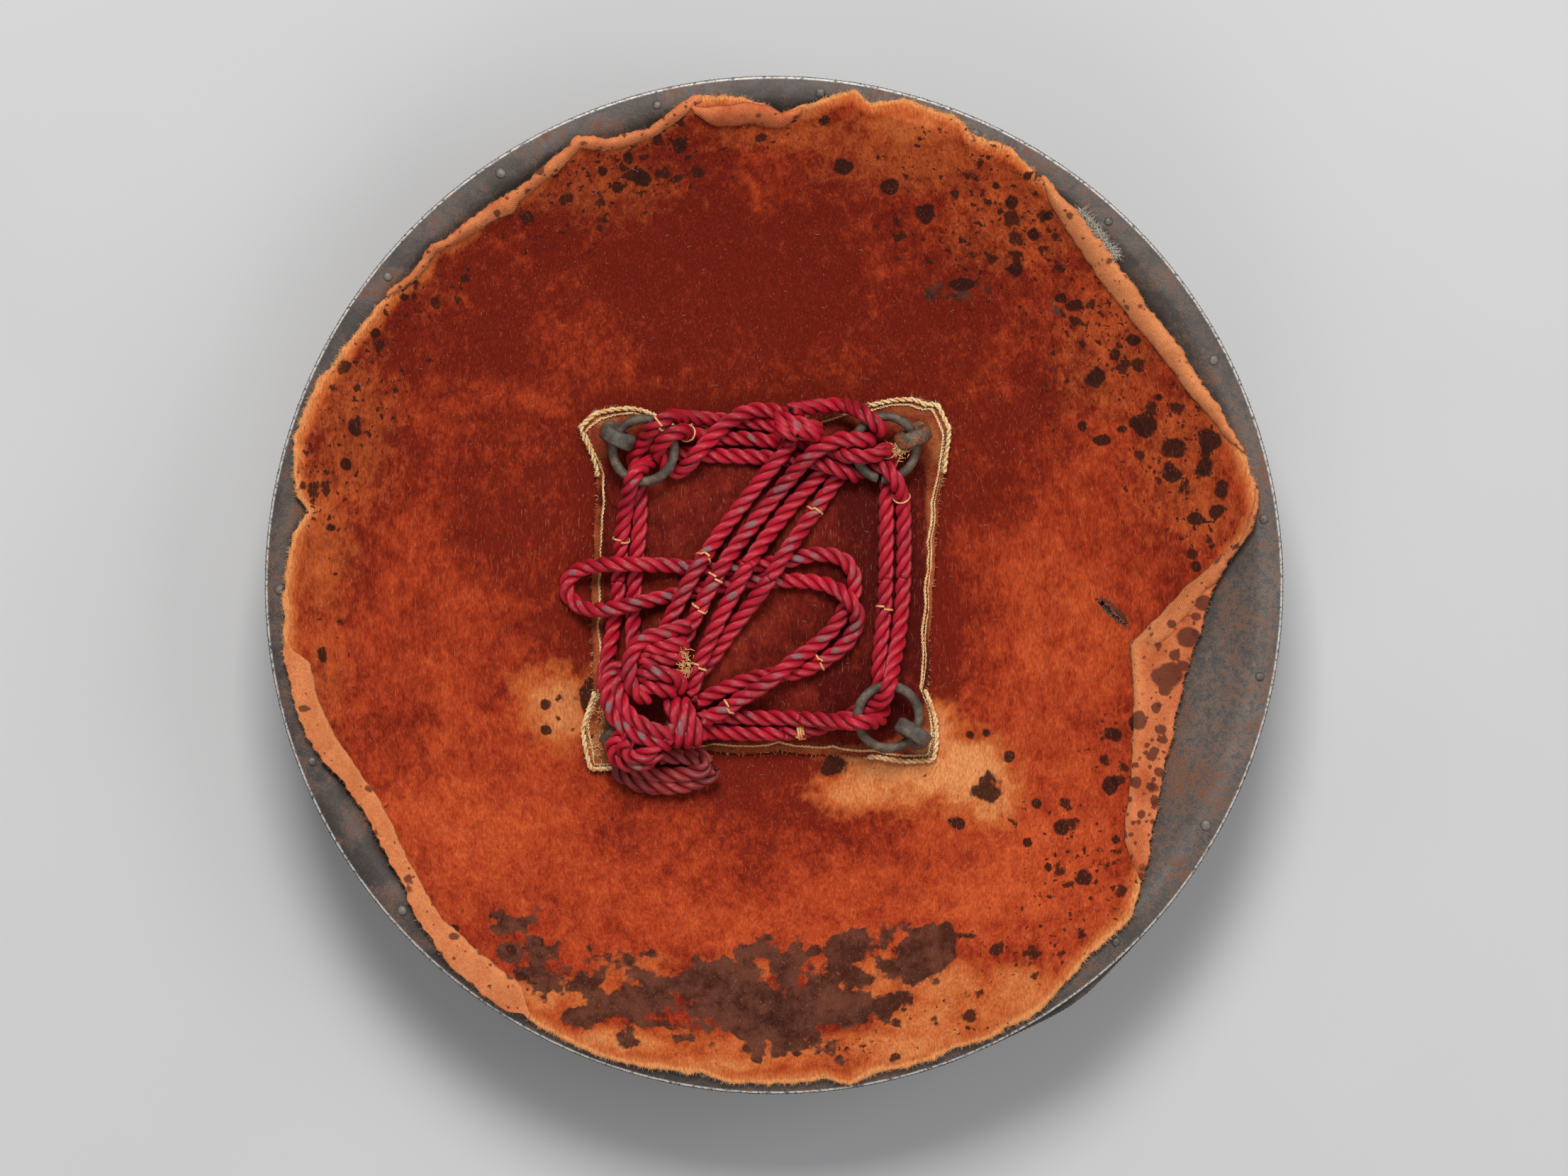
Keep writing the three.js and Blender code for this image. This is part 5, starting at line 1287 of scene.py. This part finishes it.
# Strips turned over along the edge: the inner boundary of each
STRIPS = {
    "upper_left": [
        (994, 164), (973, 158), (945, 176), (925, 190), (880, 206), (850, 212), (818, 207), (796, 233),
        (756, 262), (731, 283), (722, 300), (700, 306), (668, 326), (640, 342), (618, 352), (588, 392),
        (566, 410), (548, 424),
    ],
    "top": [
        (1130, 172), (1124, 178), (1110, 182), (1090, 178), (1060, 172), (1030, 176), (1000, 178),
        (982, 176), (976, 164),
    ],
    "upper_right": [
        (1752, 637), (1738, 628), (1721, 603), (1682, 558), (1645, 508), (1604, 458), (1562, 405),
        (1533, 363), (1508, 326), (1482, 286), (1464, 258),
    ],
    "right_fold": [
        (1598, 918), (1640, 868), (1676, 829), (1716, 794), (1750, 764), (1768, 720), (1768, 690),
    ],
    "right_flap": [
        (1608, 1240), (1592, 1224), (1588, 1200), (1590, 1160), (1596, 1120), (1600, 1080), (1601, 1034),
        (1603, 990), (1602, 955), (1599, 925), (1598, 910), (1640, 868), (1676, 832), (1700, 812),
    ],
    "lower_left": [
        (432, 905), (436, 930), (449, 990), (470, 1036), (490, 1066), (528, 1121), (550, 1160),
        (571, 1207), (596, 1254), (621, 1296), (650, 1320), (690, 1356), (729, 1386), (760, 1412),
    ],
}
STRIP_STEP = math.radians(0.4)
STRIP_END = math.radians(3)
STRIP_THICKNESS = 0.7


def strip(name, inner, profile, spotty, worn, hem_worn, columns=16, widest=99):
    """Cloth turned over between the lining's edge and an inner boundary; profile gives its height."""
    shape = places(inner)
    angle = np.unwrap(np.arctan2(shape[:, 1], shape[:, 0]))
    if angle[-1] < angle[0]:
        shape, angle = shape[::-1], angle[::-1]
    a = np.arange(angle[0], angle[-1], STRIP_STEP)
    ring = pairs(*circle(a, EDGE_CIRCLE))
    inside = np.interp(a, angle, np.hypot(*shape.T))
    outside = np.minimum(frayed_reach(a) + 0.3, inside + widest * (1 + 0.25 * wobble(ring, 12, 46, 2)))
    inside = np.minimum(inside + 0.7 * wobble(ring, 5, 40, 3), outside - 0.6)
    ends = smooth(0, STRIP_END, a - a[0]) * smooth(0, STRIP_END, a[-1] - a)
    inside = outside - (outside - inside) * (0.25 + 0.75 * ends)
    share = np.linspace(0, 1, columns)
    x, y = (way.ravel() for way in circle(a[:, None], outside[:, None] + (inside - outside)[:, None] * share))
    width = (outside - inside)[:, None] * np.ones(columns)
    lift = (profile(share[None, :] * width, width) * (0.4 + 0.6 * ends[:, None])).ravel()
    z = lining_height(x, y) + lift + 0.25 * wobble(pairs(x, y), 6, 44, 2) * np.minimum(lift, 1)
    marks = {"spotty": spotty + 0.5 * field(SPOTTY, x, y), "spot": field(FLAP_SPOT, x, y, 0.2, 0.35),
             "worn": worn + (1 - worn) * smooth(0.75, 1, np.tile(share, len(a))) * hem_worn}
    made = make(name, np.stack([x, y, z], 1), grid_faces(len(a), columns), turned_velvet, marks=marks)
    made.modifiers.new("thickness", "SOLIDIFY").thickness = STRIP_THICKNESS * MM
    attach(made, "shield")
    return made


def rolled(d, w):
    return (1.6 + 0.3 * np.minimum(w, 7)) * np.sqrt(np.clip(1 - (2 * d / w - 1) ** 2, 0, 1)) + 0.25


def folded(d, w):
    hem = 1.5 * np.exp(-(((w - d - 2.2) / 2.0) ** 2))
    return 0.35 + 0.75 * smooth(0, 2.5, d) + hem * (w > 3) - 0.6 * smooth(0.6, 0, w - d)


def pressed(d, w):
    return 0.5 + 0.5 * smooth(0, 1.5, w - d)


strips = [
    strip("edge_roll_upper_left", STRIPS["upper_left"], rolled, 0.5, 0.2, 0.5),
    strip("edge_fold_top", STRIPS["top"], rolled, 0.4, 0.0, 0.3, widest=8),
    strip("edge_roll_upper_right", STRIPS["upper_right"], rolled, 0.35, 0.45, 0.5),
    strip("edge_flap_right", STRIPS["right_flap"], folded, 0.8, 0.05, 0.6, 28),
    strip("edge_roll_right", STRIPS["right_fold"], rolled, 0.6, 0.3, 0.5, widest=10),
    strip("edge_strip_lower_left", STRIPS["lower_left"], pressed, 0.45, 0.3, 0.5),
]

HAIR_STEPS = 5
HAIR_CURL, HAIR_LIFT, HAIR_LIFT_SPREAD = 0.45, 0.1, 0.25


def threads(name, roots, directions, lengths, look, width):
    """Short loose threads: thin three-sided hairs that curl from their roots."""
    t = np.linspace(0, 1, HAIR_STEPS)
    last = 3 * HAIR_STEPS - 3
    faces = [[3 * i + j, 3 * i + (j + 1) % 3, 3 * i + 3 + (j + 1) % 3, 3 * i + 3 + j]
             for i in range(HAIR_STEPS - 1) for j in range(3)] + [[2, 1, 0], [last, last + 1, last + 2]]
    parts = []
    for root, direction, length in zip(roots, directions, lengths):
        side = np.cross(direction, [0, 0, 1.0])
        side /= max(np.linalg.norm(side), 1e-6)
        curl = rng.normal(0, HAIR_CURL)
        lift = rng.normal(HAIR_LIFT, HAIR_LIFT_SPREAD)
        line = root + length * (np.outer(t, direction) + np.outer(t**2 * curl, side)
                                + np.outer(lift * np.sin(t * math.pi), [0, 0, 1]))
        half = width * (1 - 0.6 * t)[:, None] / 2
        ring = np.stack([line + half * side, line - half * side, line + half * np.array([0, 0, 1.2])], 1)
        parts.append((ring.reshape(-1, 3), faces))
    made = make(name, *join(parts), look)
    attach(made, "shield")
    return made


FRAY_COUNT = 3400
a = rng.uniform(0, TURN, FRAY_COUNT)
x, y = circle(a, frayed_reach(a) - 0.8)
turn = a + rng.normal(0, 0.5, FRAY_COUNT)
ways = np.stack([*circle(turn), rng.normal(0.1, 0.1, FRAY_COUNT)], 1)
fringe = threads("edge_fray", np.stack([x, y, lining_height(x, y) - 0.3], 1), ways,
                 rng.uniform(0.9, 2.4, FRAY_COUNT), frayed, 0.3)

# Cushion: a crowned velvet face sewn over stuffing, with a flat edge that spreads into ears at its corners
CUSHION_EDGE = [
    (814, 600), (835, 580), (860, 574), (884, 572), (905, 576), (928, 586), (1000, 590), (1100, 592),
    (1161, 584), (1236, 566), (1262, 560), (1293, 559), (1310, 566), (1325, 566), (1342, 601),
    (1338, 640), (1332, 680), (1327, 703), (1322, 760), (1318, 830), (1313, 900), (1309, 979),
    (1318, 1000), (1323, 1014), (1325, 1050), (1320, 1076), (1285, 1078), (1240, 1072), (1180, 1066),
    (1100, 1062), (1000, 1062), (900, 1068), (867, 1086), (829, 1089), (822, 1060), (818, 1030),
    (828, 1000), (834, 983), (833, 930), (832, 860), (835, 780), (840, 700), (838, 660), (832, 640),
    (822, 620),
]
CUSHION_WORN = [
    (850, 590, 40, 12, 0.7), (1290, 575, 40, 14, 0.6), (1320, 620, 14, 40, 0.6),
    (1310, 1050, 30, 30, 0.9), (840, 1050, 26, 36, 0.8), (870, 1075, 30, 14, 0.8),
    (1316, 800, 8, 150, 0.6), (838, 850, 8, 150, 0.6), (1080, 1060, 200, 8, 0.5),
    (1000, 590, 160, 8, 0.4),
]
CUSHION_PALE = [(1000, 850, 120, 120, 1), (960, 700, 80, 60, 0.6)]
CUSHION_SHADE = [(1250, 850, 70, 220, 1)]
CUSHION_SIDES, CUSHION_RINGS, CUSHION_START = 720, 110, 0.004
CUSHION_CIRCLE = 80
PUCKERS = 46
DROOP, BACK_HEIGHT, THINNEST = 0.7, 0.9, 0.5
EAR_START, EAR_FULL = 82, 97
# The ears: directions of their middles and half widths, in degrees
EARS = {"top_left": (134, 13), "top_right": (46, 14), "bottom_right": (-46, 13), "bottom_left": (226, 14)}
cushion_outline = round_outline(CUSHION_EDGE, HANDLE_X)


def on_cushion(a, reach):
    """X and Y of points at angles about the middle of the cushion."""
    x, y = circle(a, reach)
    return HANDLE_X + x, y


def cushion_reach(a):
    return cushion_outline(a) + 0.35 * wobble(pairs(*circle(a, CUSHION_CIRCLE)), 2.5, 30, 2)


def cushion_face(x, y):
    """The top of the velvet: crowned, uneven, and puckered at the seam."""
    points, share = pairs(x, y), seam_share(x, y)
    angle = np.arctan2(y, x - HANDLE_X)
    pucker = np.sin(angle * PUCKERS + 2 * wobble(points, 30, 33, 1))
    pucker = pucker * smooth(0.72, 0.97, share) * smooth(1.06, 0.99, share)
    uneven = smooth(1.0, 0.75, share) * wobble(points, 22, 34, 2)
    return cushion_top(x, y) - 0.35 + 0.7 * uneven + 0.28 * pucker


a = angles(CUSHION_SIDES)
shares = np.linspace(CUSHION_START, 1, CUSHION_RINGS)
x, y = (way.ravel() for way in on_cushion(a, np.outer(shares, cushion_reach(a))))
out, share = np.repeat(shares, CUSHION_SIDES), seam_share(x, y)
z_top = cushion_face(x, y) - np.where(share < 1, 0, DROOP * smooth(0.955, 1.0, out))
z_low = np.minimum(lining_top(x, y) + BACK_HEIGHT, z_top - THINNEST)
edge = np.clip((out - 0.93) / 0.07, 0, 1)
near_ear = smooth(EAR_START, EAR_FULL, np.hypot(x - HANDLE_X, y))
flange = smooth(1.0, 1.04, share)
tone_and_shading = 0.12 * wobble(pairs(x, y), 30, 36, 2) + 0.1 * field(CUSHION_PALE, x, y, 0.3)
tone_and_shading += 0.22 * flange - 0.2 * edge * (1 - near_ear) - 0.2 * field(CUSHION_SHADE, x, y, 0.3)
marks = {"worn": np.maximum(field(CUSHION_WORN, x, y), np.maximum(0.6 * edge * near_ear, 0.3 * flange)),
         "tone_and_shading": tone_and_shading, "burnt": np.zeros(len(x)), "spotty": 0.25 * near_ear, "spot": np.zeros(len(x))}
points = np.stack([np.tile(x, 2), np.tile(y, 2), np.append(z_top, z_low)], 1)
pad = make("velvet_pad", points, slab_faces(CUSHION_RINGS, CUSHION_SIDES), cushion_velvet,
           marks={key: np.tile(values, 2) for key, values in marks.items()})
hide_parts("cushion_top", "cushion_back", "cushion_stuffing", "cushion_piping")
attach(pad, "shield")


# The seam thread and the frayed selvedge along the cushion's edge
MEAN_REACH, THREAD_STEP, THREAD_LIFT = 85, 0.8, 0.25


def sewn(name, inset, thick, wave, low=0, high=360, seed=50):
    """A thread of two strands laid inside the cushion's edge, between two directions in degrees."""
    low, high = math.radians(low), math.radians(high)
    a = np.linspace(low, high, int((high - low) * MEAN_REACH / THREAD_STEP))
    waves = wave * wobble(pairs(*circle(a, CUSHION_CIRCLE)), 9, seed, 2)
    x, y = on_cushion(a, cushion_outline(a) - inset + waves)
    line = np.stack([x, y, cushion_face(x, y) + THREAD_LIFT], 1)
    made = make(name, *rope(line, 0, None, thick * 0.5, thick * 0.56, thick * 5, 2)[:2], piping)
    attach(made, "shield")


sewn("seam_thread", 3.6, 0.74, 0.8)
sewn("second_thread", 2.0, 0.5, 0.6, -34, 36, 52)
for number, (name, (middle, half)) in enumerate(EARS.items()):
    sewn(f"selvedge_{name}", 0.4, 1.35, 0.5, middle - half, middle + half, 55 + number)
    sewn(f"ear_thread_{name}", 3.0, 0.5, 1.3, middle - half, middle + half, 60 + number)

CUSHION_FRAY_COUNT = 1100
a = np.radians(rng.choice([middle for middle, _ in EARS.values()], CUSHION_FRAY_COUNT)
               + rng.normal(0, 9, CUSHION_FRAY_COUNT))
a[::4] = rng.uniform(0, TURN, len(a[::4]))
x, y = on_cushion(a, cushion_reach(a) - 0.6)
turn = a + rng.normal(0, 0.7, CUSHION_FRAY_COUNT)
ways = np.stack([*circle(turn), rng.normal(0, 0.1, CUSHION_FRAY_COUNT)], 1)
threads("cushion_fray", np.stack([x, y, cushion_face(x, y) - 0.9], 1), ways,
        rng.uniform(0.8, 2.4, CUSHION_FRAY_COUNT), piping, 0.2)

# Tan fibres that stand out at the corners and beside the coil: x, y, half width and half height in
# pixels, height, and how many
TUFTS = {
    "coil": (964, 936, 8, 15, 56.5, 130),
    "eye": (1270, 632, 12, 9, 45.0, 110),
    "bolt": (850, 1008, 8, 12, 34.5, 80),
    "ear": (838, 1062, 6, 16, 32.0, 70),
}
for name, (px, py, half_x, half_y, z, count) in TUFTS.items():
    cx, cy = at(px, py)
    roots = np.stack([cx + rng.normal(0, half_x * PIXEL / 1.6, count),
                      cy + rng.normal(0, half_y * PIXEL / 1.6, count), z + rng.normal(0, 0.9, count)], 1)
    ways = unit(rng.normal(0, 1, (count, 3)) * [1, 1, 0.5])
    threads(f"fibre_tuft_{name}", roots, ways, rng.uniform(1.2, 3.0, count), fibre, 0.5)

# White lint caught on the velvet
LINT_COUNT = 520
px = rng.uniform(400, 1780, LINT_COUNT)
py = rng.uniform(140, 1520, LINT_COUNT)
x, y = at(px, py)
on_lining = np.hypot(x, y) < edge_reach(np.arctan2(y, x)) - 4
x, y = x[on_lining], y[on_lining]
over_cushion = np.hypot(x - HANDLE_X, y) < cushion_outline(np.arctan2(y, x - HANDLE_X))
z = np.where(over_cushion, cushion_face(x, y), lining_height(x, y)) + 0.15
ways = np.stack([*circle(rng.uniform(0, TURN, len(x))), np.zeros(len(x))], 1)
threads("lint_fibres", np.stack([x, y, z], 1), ways, rng.uniform(0.5, 2.2, len(x)), lint, 0.17)

# Torn threads round the hole at the right
TEAR_COUNT = 150
hole = smooth_path([(*p, 0) for p in places([*TEAR, TEAR[0]])], 0.35)[:, :2]
root = hole[rng.integers(0, len(hole), TEAR_COUNT)]
x, y = root.T
inward = unit(hole.mean(0) - root) + rng.normal(0, 0.7, (TEAR_COUNT, 2))
ways = unit(np.column_stack([inward, rng.normal(0.1, 0.2, TEAR_COUNT)]))
threads("tear_fray", np.stack([x, y, lining_height(x, y) - 0.2], 1), ways,
        rng.uniform(0.8, 2.6, TEAR_COUNT), torn, 0.24)

# Wadding between the bowl and the lining, torn out under the hole
WADDING_SIDES, WADDING_RINGS, WADDING_REACH = 360, 24, 210
WADDING_FOOT, WADDING_THIN, WADDING_MORE = 0.3, 0.8, 2.6
THINS_START, THINS_END = 180, 212
TORN_OUT, TORN_RADIUS = at(1576, 870), 14
a = angles(WADDING_SIDES)
reach = np.minimum(edge_reach(a) - 5, WADDING_REACH)
x, y = (way.ravel() for way in circle(a, np.outer(np.linspace(0.1, 1, WADDING_RINGS), reach)))
radius = np.hypot(x, y)
rise = WADDING_THIN + WADDING_MORE * (1 - smooth(THINS_START, THINS_END, radius))
z = np.append(bowl_face(radius) + rise, bowl_face(radius) + WADDING_FOOT)
points = np.stack([np.tile(x, 2), np.tile(y, 2), z], 1)
faces = slab_faces(WADDING_RINGS, WADDING_SIDES,
                   lambda face: np.hypot(*(points[face].mean(0)[:2] - TORN_OUT)) > TORN_RADIUS)
batt = make("cotton_wadding", points, faces, cotton)
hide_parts("wadding")
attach(batt, "shield")

# Wisps of it where the lining has pulled away at the upper right
WISPS = 900
end, start = np.arctan2(*places([(1520, 300), (1572, 366)])[:, ::-1].T)
# These values go unused, and what follows is drawn after them
rng.uniform(0, 1, (WISPS, 2))
a = rng.uniform(start, end, WISPS)
x, y = circle(a, edge_reach(a) + rng.uniform(-0.6, 3.4, WISPS))
z = np.maximum(bowl_face(np.hypot(x, y)) + WADDING_THIN, lining_height(x, y) + rng.uniform(-1.6, 0.6, WISPS))
ways = unit(rng.normal(0, 1, (WISPS, 3)) * [1, 1, 0.35])
threads("wadding_wisps", np.stack([x, y, z], 1), ways, rng.uniform(1.5, 4.0, WISPS), cotton, 0.25)

# The edge strips and the fringe gathered in a list that nothing uses
strips + [fringe]
